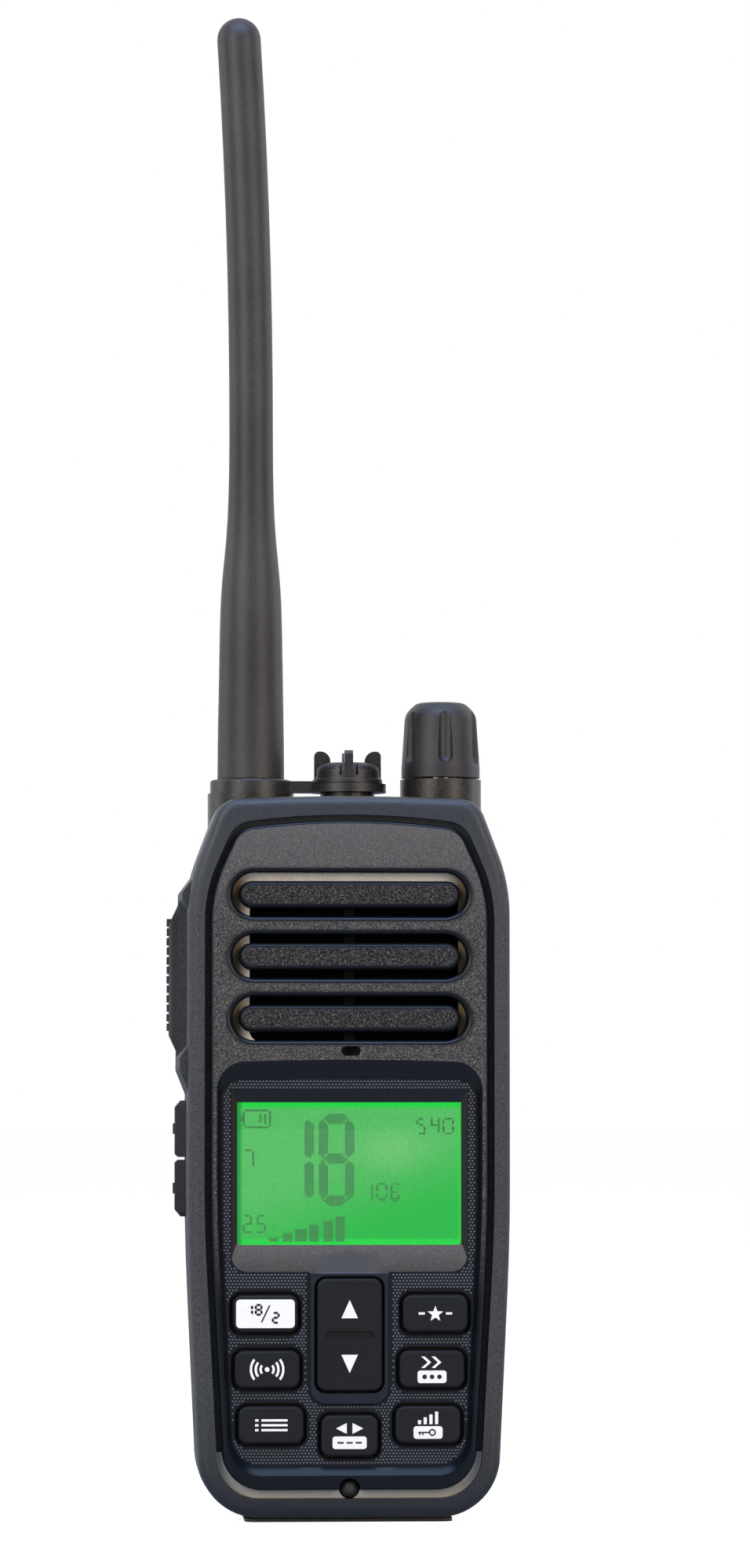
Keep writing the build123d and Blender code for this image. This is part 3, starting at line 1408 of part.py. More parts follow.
with BuildPart() as clip_spring:
    with Locations((0, clip_pin_y, clip_pin_z)):
        Cylinder(clip_pin_radius + 0.9, 7.0, rotation=(0, 90, 0))
        Cylinder(clip_pin_radius + run_gap, 7.2, rotation=(0, 90, 0), mode=Mode.SUBTRACT)
    with Locations((-2.0, clip_pin_y - 1.5, clip_pin_z)):
        Box(0.8, 0.8, 8.0, align=(Align.CENTER, Align.CENTER, Align.MAX))
save(clip_spring.part, "clip_spring")
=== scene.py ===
"""Looks of a handheld marine radio: finishes, key legends, lit display, keypad studs and a plain studio.

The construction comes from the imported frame. Everything here is in metres in the same frame: X to the user's
right, Y from the front to the back, +Z up, with the origin under the foot. Small sizes are written in
millimetres times MM.
"""

from __future__ import annotations

import logging
import math
from dataclasses import dataclass, field
from enum import Enum

import bmesh
import bpy
from mathutils import Matrix, Vector

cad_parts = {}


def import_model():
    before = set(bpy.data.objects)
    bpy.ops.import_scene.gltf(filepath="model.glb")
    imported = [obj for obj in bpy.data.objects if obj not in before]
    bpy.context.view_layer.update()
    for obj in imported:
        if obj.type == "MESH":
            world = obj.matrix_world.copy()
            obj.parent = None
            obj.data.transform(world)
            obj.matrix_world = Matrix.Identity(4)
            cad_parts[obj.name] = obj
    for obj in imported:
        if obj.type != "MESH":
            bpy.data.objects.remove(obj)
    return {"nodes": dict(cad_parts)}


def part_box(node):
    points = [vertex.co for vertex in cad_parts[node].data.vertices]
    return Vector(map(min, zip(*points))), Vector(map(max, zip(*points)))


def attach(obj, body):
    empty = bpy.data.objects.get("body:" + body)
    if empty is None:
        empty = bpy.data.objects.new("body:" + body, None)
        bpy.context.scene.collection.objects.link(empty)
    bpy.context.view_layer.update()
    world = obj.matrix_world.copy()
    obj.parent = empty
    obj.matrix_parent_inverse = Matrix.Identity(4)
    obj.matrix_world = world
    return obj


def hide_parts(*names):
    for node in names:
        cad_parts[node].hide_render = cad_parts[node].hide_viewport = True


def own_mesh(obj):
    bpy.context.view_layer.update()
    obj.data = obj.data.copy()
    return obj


LOG = logging.getLogger("radio")
MM = 0.001
Point = tuple[float, float]
Triple = tuple[float, float, float]
Tree = bpy.types.NodeTree
Node = bpy.types.Node
Socket = bpy.types.NodeSocket
Source = Node | Socket
Material = bpy.types.Material
# the CAD objects by the name of their node, which main fills in
NODES: dict[str, bpy.types.Object] = {}


# ------------------------------------------------------------------------------------------- small helpers
def linear(code: str) -> tuple[float, float, float, float]:
    """Turns an sRGB hex colour into linear values.

    Args:
        code: six hex digits after a #.

    Returns:
        Red, green, blue and alpha, linear.
    """
    parts = [int(code[i:i + 2], 16) / 255 for i in (1, 3, 5)]
    return (*[p / 12.92 if p <= 0.04045 else ((p + 0.055) / 1.055) ** 2.4 for p in parts], 1.0)


def feed(tree: Tree, node: Node, inputs: dict) -> None:
    """Fills a node's inputs.

    Args:
        tree: the node's tree.
        node: the node.
        inputs: for each socket, by name or number, the socket or node to link from, or the value to set.
            A node stands for its first enabled output.
    """
    for key, value in inputs.items():
        if isinstance(value, Node):
            value = next(output for output in value.outputs if output.enabled)
        if isinstance(value, Socket):
            tree.links.new(value, node.inputs[key])
        else:
            node.inputs[key].default_value = value


def put(tree: Tree, kind: str, inputs: dict | None = None, **settings) -> Node:
    """Adds a node to a tree.

    Args:
        tree: the shader or geometry tree.
        kind: the node's type name.
        inputs: what feed gives its sockets.
        settings: properties of the node itself.

    Returns:
        The new node.
    """
    node = tree.nodes.new(kind)
    for name, value in settings.items():
        setattr(node, name, value)
    feed(tree, node, inputs or {})
    return node


def span(start: float, end: float, low: float = 0.0, high: float = 1.0) -> dict[str, float]:
    """Names the four inputs that map one range onto another.

    Args:
        start: the value that gives low.
        end: the value that gives high.
        low: the first result.
        high: the last result.

    Returns:
        The inputs by name.
    """
    return {"From Min": start, "From Max": end, "To Min": low, "To Max": high}


def layered(tree: Tree, base: object, coats: list[tuple[Source, object]], kind: str = "RGBA") -> object:
    """Lays coats over a base one after another, each as thick as its share says.

    Args:
        tree: the material's tree.
        base: the colour or number underneath.
        coats: for each coat its share, from 0 to 1, and its colour or number.
        kind: RGBA for colours, FLOAT for numbers.

    Returns:
        What shows in the end.
    """
    for share, coat in coats:
        base = put(tree, "ShaderNodeMix", {"Factor": share, "A": base, "B": coat}, data_type=kind)
    return base


def new_object(name: str, mesh: bpy.types.Mesh) -> bpy.types.Object:
    """Links a mesh to the scene as an object.

    Args:
        name: the piece's name.
        mesh: its mesh, already in place.

    Returns:
        The object.
    """
    thing = bpy.data.objects.new(name, mesh)
    bpy.context.scene.collection.objects.link(thing)
    return thing


def object_from(shape: bmesh.types.BMesh, name: str) -> bpy.types.Object:
    """Turns a drawn shape into an object of its own.

    Args:
        shape: the shape, which is freed.
        name: the name of the object and its mesh.

    Returns:
        The object.
    """
    mesh = bpy.data.meshes.new(name)
    shape.to_mesh(mesh)
    shape.free()
    return new_object(name, mesh)


def finish_piece(thing: bpy.types.Object, material: Material, body: str) -> None:
    """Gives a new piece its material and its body.

    Args:
        thing: the piece.
        material: its finish.
        body: the CAD body that it moves with.
    """
    if not thing.data.materials:
        thing.data.materials.append(material)
    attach(thing, body)
    LOG.info("piece %s: %d faces on %s", thing.name, len(thing.data.polygons), body)


# ------------------------------------------------------------------------------------------- finishes
@dataclass(frozen=True)
class Finish:
    """A finish: a Principled surface whose patterns sit on the object's own coordinates."""

    title: str
    colour: str
    roughness: float
    ior: float = 1.5
    metallic: float = 0.0

    def start(self) -> tuple[Material, Tree, Node, Socket]:
        """Makes the material with its shader.

        Returns:
            The material, its tree, the shader node and the object coordinates.
        """
        material = bpy.data.materials.new(self.title)
        material.use_nodes = True
        material.diffuse_color = linear(self.colour)
        tree = material.node_tree
        tree.nodes.clear()
        shader = put(tree, "ShaderNodeBsdfPrincipled", {
            "Base Color": linear(self.colour), "Roughness": self.roughness, "IOR": self.ior,
            "Metallic": self.metallic})
        put(tree, "ShaderNodeOutputMaterial", {"Surface": shader.outputs["BSDF"]})
        return material, tree, shader, put(tree, "ShaderNodeTexCoord").outputs["Object"]


@dataclass(frozen=True)
class SparkPlastic(Finish):
    """ABS from a spark-eroded mould: a matte grain of pits and peaks, smooth where the mould was polished.

    grain is the width of one pit and relief its depth. step is how far the noise goes from its middle to a
    full pit or peak, so a small step gives crisp flecks. polished_slopes keeps the grain on faces that look
    to the front, and frontal holds the leans between which it comes in. Where the grain gives way, the
    plastic takes the polish colour, which is darker: partly the smooth plastic, partly painted shade. Each of
    the fades holds two heights: the grain is whole at the first and gone at the second, so below them the
    plastic is smooth and darker, the darkening painted shade. inward polishes the walls that look towards
    heart, the middle of the front, and so paints them dark as the shade in the groove round the panel.
    bosses are upright turned cylinders, each as x, y and radius, that are polished too. crown is a painted
    light: the colour the plastic turns to between two heights, lighter or cooler where the top catches the
    light from above. slots are long round-ended openings, each as height, half length and radius, with a
    polished band that ends within slot_band of their edge and paints a dark ring of shade round the slot.
    hollow is the depth behind which the plastic is left dark, because little light reaches the inside of a
    slot.
    """

    fleck: str = "#5b5854"
    pit: str = "#141416"
    grain: float = 0.45 * MM
    relief: float = 0.08 * MM
    middle: float = 0.51
    step: float = 0.12
    uneven: float = 0.1
    polished_slopes: bool = False
    frontal: Point = (0.955, 0.998)
    polish_and_shade: str = "#1a1f28"
    polish_roughness: float = 0.3
    fades: tuple[Point, ...] = ()
    crown: str | None = None
    crown_from: Point = (104.0 * MM, 124.0 * MM)
    crown_roughness: float = 0.36
    crown_share: float = 1.0
    slots: tuple[Triple, ...] = ()
    slot_band: Point = (0.45 * MM, 1.25 * MM)
    inward: bool = False
    inner: Point = (-0.25, -0.03)
    heart: Vector = field(default_factory=lambda: Vector((0.0, 0.0, 70.0 * MM)))
    bosses: tuple[Triple, ...] = ()
    boss: str = "#26221e"
    boss_roughness: float = 0.24
    boss_edge: float = 0.3 * MM
    hollow: float | None = None
    dusk: float = 0.4 * MM
    dark: str = "#020202"
    dark_roughness: float = 0.9

    def grained(self, tree: Tree, place: Socket, at: Node) -> list[Node]:
        """Finds where the grain is, from 1 on the grained faces to 0 on the polished ones.

        Args:
            tree: the material's tree.
            place: the object coordinates.
            at: the same, split.

        Returns:
            The shares of grain, one for each rule, which hold together.
        """
        # fades: below them the grain goes and the polish colour brings painted shade, darker towards the foot
        shares = [put(tree, "ShaderNodeMapRange", {
            "Value": at.outputs["Z"], **span(gone, whole)}) for whole, gone in self.fades]
        normal = put(tree, "ShaderNodeNewGeometry").outputs["Normal"]
        if self.polished_slopes:
            face = put(tree, "ShaderNodeSeparateXYZ", {"Vector": normal})
            lean = put(tree, "ShaderNodeMath", {0: face.outputs["Y"]}, operation="ABSOLUTE")
            shares.append(put(tree, "ShaderNodeMapRange", {"Value": lean, **span(*self.frontal)}))
        # inward walls lose their grain, so the polish colour paints them dark as the shade in the groove round
        # the panel
        if self.inward:
            away = put(tree, "ShaderNodeVectorMath", {0: place, 1: self.heart}, operation="SUBTRACT")
            outward = put(tree, "ShaderNodeVectorMath", {0: away}, operation="NORMALIZE")
            along = put(tree, "ShaderNodeVectorMath", {0: outward, 1: normal}, operation="DOT_PRODUCT")
            shares.append(put(tree, "ShaderNodeMapRange", {"Value": along, **span(*self.inner)}))
        # a band round each slot loses its grain, so the polish colour paints a dark ring of shade round it
        shares += [self.off_slot(tree, at, *slot) for slot in self.slots]
        return shares

    def off_slot(self, tree: Tree, at: Node, height: float, half: float, radius: float) -> Node:
        """Measures how far a point is outside the polished band of a slot.

        Args:
            tree: the material's tree.
            at: the object coordinates, split.
            height: the slot's height.
            half: half its length.
            radius: the radius of its ends.

        Returns:
            A node that gives 0 at the slot's edge and 1 beyond its band.
        """
        across = put(tree, "ShaderNodeMath", {0: at.outputs["X"]}, operation="ABSOLUTE")
        beyond = put(tree, "ShaderNodeMath", {0: across, 1: half - radius}, operation="SUBTRACT")
        past = put(tree, "ShaderNodeMath", {0: beyond, 1: 0.0}, operation="MAXIMUM")
        rise = put(tree, "ShaderNodeMath", {0: at.outputs["Z"], 1: height}, operation="SUBTRACT")
        flat = put(tree, "ShaderNodeCombineXYZ", {"X": past, "Y": rise})
        reach = put(tree, "ShaderNodeVectorMath", {0: flat}, operation="LENGTH")
        return put(tree, "ShaderNodeMapRange", {
            "Value": reach, **span(radius + self.slot_band[0], radius + self.slot_band[1])})

    def off_bosses(self, tree: Tree, place: Socket) -> list[Node]:
        """Finds, for each turned boss, where the plastic isn't part of it.

        Args:
            tree: the material's tree.
            place: the object coordinates.

        Returns:
            For each boss, 0 on it and 1 elsewhere.
        """
        level = put(tree, "ShaderNodeVectorMath", {0: place, 1: (1.0, 1.0, 0.0)}, operation="MULTIPLY")
        shares = []
        for x, y, radius in self.bosses:
            gap = put(tree, "ShaderNodeVectorMath", {0: level, 1: (x, y, 0.0)}, operation="DISTANCE")
            shares.append(put(tree, "ShaderNodeMapRange", {
                "Value": gap, **span(radius, radius + self.boss_edge)}))
        return shares

    def together(self, tree: Tree, shares: list[Node]) -> tuple[Node, Node]:
        """Multiplies shares.

        Args:
            tree: the material's tree.
            shares: one or more shares from 0 to 1.

        Returns:
            The product, and what it leaves of 1.
        """
        whole = shares[0]
        for share in shares[1:]:
            whole = put(tree, "ShaderNodeMath", {0: whole, 1: share}, operation="MULTIPLY")
        return whole, put(tree, "ShaderNodeMath", {0: 1.0, 1: whole}, operation="SUBTRACT")

    def material(self) -> Material:
        """Builds the material.

        Returns:
            The moulded plastic.
        """
        material, tree, shader, place = self.start()
        at = put(tree, "ShaderNodeSeparateXYZ", {"Vector": place})
        coarse = put(tree, "ShaderNodeTexNoise", {
            "Vector": place, "Scale": 1.0 / self.grain, "Detail": 1.0, "Distortion": 1.2})
        ramp = put(tree, "ShaderNodeValToRGB", {"Fac": coarse})
        low, high = ramp.color_ramp.elements
        low.position, low.color = self.middle - self.step, linear(self.pit)
        high.position, high.color = self.middle + self.step, linear(self.fleck)
        ramp.color_ramp.elements.new(self.middle).color = linear(self.colour)
        matte = put(tree, "ShaderNodeMapRange", {
            "Value": coarse, **span(0.35, 0.65, self.roughness + self.uneven, self.roughness - self.uneven)})
        bump = put(tree, "ShaderNodeBump", {"Height": coarse, "Distance": self.relief, "Strength": 1.0})
        coats = []
        # crown: painted light, a lighter or cooler tone on the top where light from above falls
        if self.crown:
            top = put(tree, "ShaderNodeMapRange", {
                "Value": at.outputs["Z"], **span(*self.crown_from, high=self.crown_share)})
            coats.append((top, self.crown, self.crown_roughness))
        shares = self.grained(tree, place, at)
        # where the grain gives way the polish colour comes in: the smooth plastic's tone, darkened as painted
        # shade in grooves, round slots and towards the foot
        if shares:
            grained, polished = self.together(tree, shares)
            coats.append((polished, self.polish_and_shade, self.polish_roughness))
            feed(tree, bump, {"Strength": grained})
        if self.bosses:
            turned = self.together(tree, self.off_bosses(tree, place))[1]
            coats.append((turned, self.boss, self.boss_roughness))
        if self.hollow is not None:
            inside = put(tree, "ShaderNodeMapRange", {
                "Value": at.outputs["Y"], **span(self.hollow - self.dusk, self.hollow)})
            coats.append((inside, self.dark, self.dark_roughness))
        feed(tree, shader, {
            "Base Color": layered(tree, ramp, [(share, linear(code)) for share, code, _ in coats]),
            "Roughness": layered(tree, matte, [(share, rough) for share, _, rough in coats], "FLOAT"),
            "Normal": bump})
        return material


@dataclass(frozen=True)
class SatinPlastic(Finish):
    """ABS or polycarbonate from a polished mould: nearly smooth, with the faint ripple of a moulding."""

    ripple: float = 6.0 * MM
    relief: float = 0.02 * MM
    dust_and_glint: str = "#3a3c40"
    dust_and_glint_share: float = 0.5
    grit: float = 0.3 * MM
    uneven: Point = (-0.05, 0.08)

    def material(self) -> Material:
        """Builds the material.

        Returns:
            The polished plastic.
        """
        material, tree, shader, place = self.start()
        wave = put(tree, "ShaderNodeTexNoise", {"Vector": place, "Scale": 1.0 / self.ripple, "Detail": 1.0})
        grit = put(tree, "ShaderNodeTexNoise", {"Vector": place, "Scale": 1.0 / self.grit})
        speck = put(tree, "ShaderNodeMapRange", {"Value": grit, **span(0.62, 0.8, high=self.dust_and_glint_share)})
        rough = put(tree, "ShaderNodeMapRange", {
            "Value": grit,
            **span(0.3, 0.7, self.roughness + self.uneven[0], self.roughness + self.uneven[1])})
        bump = put(tree, "ShaderNodeBump", {"Height": wave, "Distance": self.relief, "Strength": 0.5})
        # specks: dust on the sealing strip, painted glints on the keypad studs
        feed(tree, shader, {
            "Base Color": layered(tree, linear(self.colour), [(speck, linear(self.dust_and_glint))]),
            "Roughness": rough, "Normal": bump})
        return material


@dataclass(frozen=True)
class PlatePlastic(Finish):
    """Polycarbonate from a polished mould, with a sandblasted slope and a smooth tongue in its middle.

    slope holds the lowest and highest point of the slope under the display, tilt how far its faces look up,
    rise how bright it is at its foot and at crest under its top, which paints light and shade on the slope,
    darker at its foot and brighter under its top, and speckle how bright its grit. tongue is the half width
    of the smooth middle, edge where the grit starts and is whole beside it, and tip how far under the
    slope's top it ends. side is a painted light: the lighter, warmer colour of walls that look aside, which
    turned brings in. rim is the colour of the raised rim, which comes in between the two depths of
    rim_depth. hollow is the depth behind which the walls of the key openings are left dark, because little
    light reaches them.
    """

    blast: str = "#555351"
    blast_roughness: float = 0.6
    grit: float = 0.3 * MM
    relief: float = 0.03 * MM
    speckle: Point = (0.75, 1.2)
    slope: Point = (43.6 * MM, 48.8 * MM)
    tilt: Point = (0.04, 0.10)
    rise: Point = (0.55, 1.1)
    crest: float = 1.0 * MM
    patch: str = "#4d4e51"
    tongue: float = 5.4 * MM
    edge: Point = (-0.7 * MM, 0.9 * MM)
    tip: Point = (2.2 * MM, 1.2 * MM)
    side: str = "#2b2723"
    turned: Point = (0.08, 0.3)
    rim: str = "#1c232d"
    rim_depth: Point = (-16.85 * MM, -16.95 * MM)
    hollow: float = -16.3 * MM
    dusk: float = 0.15 * MM
    dark: str = "#050506"

    def chin(self, tree: Tree, at: Node, face: Node) -> tuple[Node, Node]:
        """Finds the slope under the display.

        Args:
            tree: the material's tree.
            at: the object coordinates, split.
            face: the face's normal, split.

        Returns:
            1 on the slope and 0 elsewhere, and the same less its smooth tongue.
        """
        tilted = put(tree, "ShaderNodeMapRange", {"Value": face.outputs["Z"], **span(*self.tilt)})
        above = put(tree, "ShaderNodeMath", {0: at.outputs["Z"], 1: self.slope[0]}, operation="GREATER_THAN")
        under = put(tree, "ShaderNodeMath", {0: at.outputs["Z"], 1: self.slope[1]}, operation="LESS_THAN")
        band = put(tree, "ShaderNodeMath", {0: above, 1: under}, operation="MULTIPLY")
        chin = put(tree, "ShaderNodeMath", {0: band, 1: tilted}, operation="MULTIPLY")
        across = put(tree, "ShaderNodeMath", {0: at.outputs["X"]}, operation="ABSOLUTE")
        fall = put(tree, "ShaderNodeMapRange", {
            "Value": at.outputs["Z"],
            **span(self.slope[1] - self.tip[0], self.slope[1] - self.tip[1], high=self.tongue)})
        reach = put(tree, "ShaderNodeMath", {0: across, 1: fall}, operation="ADD")
        outside = put(tree, "ShaderNodeMapRange", {
            "Value": reach, **span(self.tongue + self.edge[0], self.tongue + self.edge[1])})
        rubbed = put(tree, "ShaderNodeMath", {0: chin, 1: outside}, operation="MULTIPLY")
        return chin, rubbed

    def sandblast(self, tree: Tree, at: Node, grit: Node) -> Node:
        """Colours the sandblasted slope, with painted shade that makes it darker towards its foot.

        Args:
            tree: the material's tree.
            at: the object coordinates, split.
            grit: the grit's noise.

        Returns:
            The colour.
        """
        shade = put(tree, "ShaderNodeMapRange", {"Value": grit, **span(0.35, 0.65, *self.speckle)})
        # painted light and shade: the slope is drawn darker at its foot and brighter under its top
        rise = put(tree, "ShaderNodeMapRange", {
            "Value": at.outputs["Z"], **span(self.slope[0], self.slope[1] - self.crest, *self.rise)})
        level = put(tree, "ShaderNodeMath", {0: shade, 1: rise}, operation="MULTIPLY")
        return put(tree, "ShaderNodeHueSaturation", {"Color": linear(self.blast), "Value": level})

    def material(self) -> Material:
        """Builds the material.

        Returns:
            The plate's plastic.
        """
        material, tree, shader, place = self.start()
        at = put(tree, "ShaderNodeSeparateXYZ", {"Vector": place})
        normal = put(tree, "ShaderNodeNewGeometry").outputs["Normal"]
        face = put(tree, "ShaderNodeSeparateXYZ", {"Vector": normal})
        chin, rubbed = self.chin(tree, at, face)
        # walls that look aside get side, a painted light: lighter and warmer than the plate
        aside = put(tree, "ShaderNodeMath", {0: face.outputs["X"]}, operation="ABSOLUTE")
        side_light = put(tree, "ShaderNodeMapRange", {"Value": aside, **span(*self.turned)})
        keypad = put(tree, "ShaderNodeMath", {0: at.outputs["Z"], 1: self.slope[0]}, operation="LESS_THAN")
        raised, inside = (put(tree, "ShaderNodeMapRange", {"Value": at.outputs["Y"], **span(near, far)})
                          for near, far in (self.rim_depth, (self.hollow - self.dusk, self.hollow)))
        rim, wall = (put(tree, "ShaderNodeMath", {0: share, 1: keypad}, operation="MULTIPLY")
                     for share in (raised, inside))
        grit = put(tree, "ShaderNodeTexNoise", {"Vector": place, "Scale": 1.0 / self.grit})
        rough = put(tree, "ShaderNodeMapRange", {
            "Value": rubbed, "To Min": self.roughness, "To Max": self.blast_roughness})
        bump = put(tree, "ShaderNodeBump", {"Height": grit, "Distance": self.relief, "Strength": rubbed})
        feed(tree, shader, {
            "Base Color": layered(tree, linear(self.colour), [
                (side_light, linear(self.side)), (rim, linear(self.rim)),
                (chin, linear(self.patch)), (rubbed, self.sandblast(tree, at, grit)),
                (wall, linear(self.dark))]),
            "Roughness": rough, "Normal": bump})
        return material


@dataclass(frozen=True)
class MouldedRubber(Finish):
    """Silicone or thermoplastic rubber: matte, with a fine skin grain and a faint, cloudy bloom.

    haze holds where in the noise the bloom starts and where it reaches bloom_share. hollow is the depth
    behind which the rubber is left dark, a painted shade for the gaps round the keys where little light
    reaches.
    """

    bloom: str = "#55555a"
    grain: float = 0.28 * MM
    relief: float = 0.03 * MM
    cloud: float = 22.22 * MM
    haze: Point = (0.16, 0.42)
    bloom_share: float = 0.7
    hollow: float | None = None
    dusk: float = 0.15 * MM
    dark: str = "#060607"

    def material(self) -> Material:
        """Builds the material.

        Returns:
            The rubber.
        """
        material, tree, shader, place = self.start()
        skin = put(tree, "ShaderNodeTexNoise", {
            "Vector": place, "Scale": 1.0 / self.grain, "Detail": 3.0, "Roughness": 0.6})
        cloud = put(tree, "ShaderNodeTexNoise", {"Vector": place, "Scale": 1.0 / self.cloud, "Detail": 3.0})
        spread = put(tree, "ShaderNodeMath", {0: skin, 1: cloud}, operation="MULTIPLY")
        haze = put(tree, "ShaderNodeMapRange", {"Value": spread, **span(*self.haze, high=self.bloom_share)})
        coats = [(haze, linear(self.bloom))]
        # painted shade: behind hollow the rubber is drawn dark, as little light gets into the gaps
        if self.hollow is not None:
            inside = put(tree, "ShaderNodeMapRange", {
                "Value": put(tree, "ShaderNodeSeparateXYZ", {"Vector": place}).outputs["Y"],
                **span(self.hollow - self.dusk, self.hollow)})
            coats.append((inside, linear(self.dark)))
        bump = put(tree, "ShaderNodeBump", {"Height": skin, "Distance": self.relief})
        feed(tree, shader, {"Base Color": layered(tree, linear(self.colour), coats), "Normal": bump})
        return material


@dataclass(frozen=True)
class PrintedInk(Finish):
    """Screen-printed ink: flat colour, a little uneven, and very slightly glossy."""

    grain: float = 0.5556 * MM
    thin: Point = (0.93, 1.05)

    def material(self) -> Material:
        """Builds the material.

        Returns:
            The ink.
        """
        material, tree, shader, place = self.start()
        coat = put(tree, "ShaderNodeTexNoise", {"Vector": place, "Scale": 1.0 / self.grain})
        thin = put(tree, "ShaderNodeMapRange", {
            "Value": coat, "To Min": self.thin[0], "To Max": self.thin[1]})
        ink = put(tree, "ShaderNodeHueSaturation", {"Color": linear(self.colour), "Value": thin})
        feed(tree, shader, {"Base Color": ink})
        return material


@dataclass(frozen=True)
class PlainMetal(Finish):
    """Turned, drawn or plated metal, with tool marks across the Z axis, spaced by mark and as long as run."""

    metallic: float = 1.0
    mark: float = 0.16667 * MM
    run: float = 5.0 * MM
    relief: float = 0.01 * MM
    uneven: Point = (-0.08, 0.12)

    def material(self) -> Material:
        """Builds the material.

        Returns:
            The metal.
        """
        material, tree, shader, place = self.start()
        stretch = put(tree, "ShaderNodeMapping", {
            "Vector": place, "Scale": (1.0 / self.run, 1.0 / self.run, 1.0 / self.mark)})
        scratch = put(tree, "ShaderNodeTexNoise", {"Vector": stretch, "Scale": 1.0, "Detail": 3.0})
        rough = put(tree, "ShaderNodeMapRange", {
            "Value": scratch,
            **span(0.3, 0.7, self.roughness + self.uneven[0], self.roughness + self.uneven[1])})
        bump = put(tree, "ShaderNodeBump", {"Height": scratch, "Distance": self.relief})
        feed(tree, shader, {"Roughness": rough, "Normal": bump})
        return material


@dataclass(frozen=True)
class Sheet(Finish):
    """A plain sheet good, such as foam, paper, board or film, with a mottle of a second colour.

    ends holds the distances from the middle plane between which it turns to end_colour.
    """

    mottle: str = "#808080"
    grain: float = 0.5 * MM
    relief: float = 0.03 * MM
    ends: Point | None = None
    end_colour: str = "#8f7757"

    def material(self) -> Material:
        """Builds the material.

        Returns:
            The sheet.
        """
        material, tree, shader, place = self.start()
        cells = put(tree, "ShaderNodeTexVoronoi", {"Vector": place, "Scale": 1.0 / self.grain})
        cloud = put(tree, "ShaderNodeTexNoise", {"Vector": place, "Scale": 0.2 / self.grain})
        blend = put(tree, "ShaderNodeMath", {0: cells, 1: cloud}, operation="MULTIPLY")
        shade = put(tree, "ShaderNodeMapRange", {"Value": blend, "From Max": 0.5})
        coats = [(shade, linear(self.mottle))]
        if self.ends:
            at = put(tree, "ShaderNodeSeparateXYZ", {"Vector": place})
            across = put(tree, "ShaderNodeMath", {0: at.outputs["X"]}, operation="ABSOLUTE")
            far = put(tree, "ShaderNodeMapRange", {"Value": across, **span(*self.ends)})
            coats.append((far, linear(self.end_colour)))
        bump = put(tree, "ShaderNodeBump", {"Height": cells, "Distance": self.relief})
        feed(tree, shader, {"Base Color": layered(tree, linear(self.colour), coats), "Normal": bump})
        return material


@dataclass(frozen=True)
class ClearPane(Finish):
    """Moulded acrylic, hard coated: clear and glossy, with a little haze here and there."""

    haze: float = 11.11 * MM

    def material(self) -> Material:
        """Builds the material.

        Returns:
            The acrylic.
        """
        material, tree, shader, place = self.start()
        haze = put(tree, "ShaderNodeTexNoise", {"Vector": place, "Scale": 1.0 / self.haze})
        rough = put(tree, "ShaderNodeMapRange", {"Value": haze, **span(0.55, 0.8, high=self.roughness)})
        feed(tree, shader, {"Transmission Weight": 1.0, "Roughness": rough})
        return material


@dataclass(frozen=True)
class LitCrystal(Finish):
    """Liquid crystal film lit from behind: green, brighter where the light guide leaks round its rim.

    far is the colour away from the lamp's corner, patch a pale glare at glare_at, rim the light that leaks
    past the edge, and shaded the left edge, where the bezel keeps the light off. Places on the film run from
    -1 to 1 across and upwards.
    """

    rim: str = "#1fdc46"
    shaded: str = "#12a63c"
    far: str = "#22bc46"
    patch: str = "#8fd48a"
    unlit: str = "#0b3d16"
    weave: float = 0.3846 * MM
    centre: Vector = field(default_factory=lambda: Vector((0.0, 0.0, 61.2 * MM)))
    half: Vector = field(default_factory=lambda: Vector((19.2 * MM, 1.0, 11.4 * MM)))
    glare_at: Vector = field(default_factory=lambda: Vector((0.42, 0.0, 0.35)))

    def material(self) -> Material:
        """Builds the material.

        Returns:
            The glowing film.
        """
        material, tree, shader, place = self.start()
        local = put(tree, "ShaderNodeVectorMath", {0: place, 1: self.centre}, operation="SUBTRACT")
        spot = put(tree, "ShaderNodeVectorMath", {0: local, 1: self.half}, operation="DIVIDE")
        axes = put(tree, "ShaderNodeSeparateXYZ", {"Vector": spot})
        across, upward = (put(tree, "ShaderNodeMath", {0: axes.outputs[axis]}, operation="ABSOLUTE")
                          for axis in "XZ")
        edge = put(tree, "ShaderNodeMath", {0: across, 1: upward}, operation="MAXIMUM")
        lean = put(tree, "ShaderNodeMath", {
            0: axes.outputs["X"], 1: -0.55, 2: axes.outputs["Z"]}, operation="MULTIPLY_ADD")
        glare = put(tree, "ShaderNodeVectorMath", {0: spot, 1: self.glare_at}, operation="DISTANCE")
        coats = []
        # what decides each coat, where it starts, where it is thickest, how thick that is, and its colour
        for value, start, end, most, code in (
                (lean, 0.35, -1.1, 1.0, self.far),
                (glare, 0.5, 0.0, 0.38, self.patch),
                (edge, 0.985, 1.04, 1.0, self.rim),
                (axes.outputs["X"], -0.97, -1.01, 1.0, self.shaded)):
            share = put(tree, "ShaderNodeMapRange", {
                "Value": value, **span(start, end, high=most)}, interpolation_type="SMOOTHSTEP")
            coats.append((share, linear(code)))
        weave = put(tree, "ShaderNodeTexNoise", {"Vector": place, "Scale": 1.0 / self.weave, "Detail": 1.0})
        level = put(tree, "ShaderNodeMapRange", {"Value": weave, **span(0.3, 0.7, 0.9, 1.06)})
        glow = put(tree, "ShaderNodeHueSaturation", {
            "Color": layered(tree, linear(self.colour), coats), "Value": level})
        feed(tree, shader, {
            "Base Color": linear(self.unlit), "Emission Color": glow, "Emission Strength": 1.0})
        return material


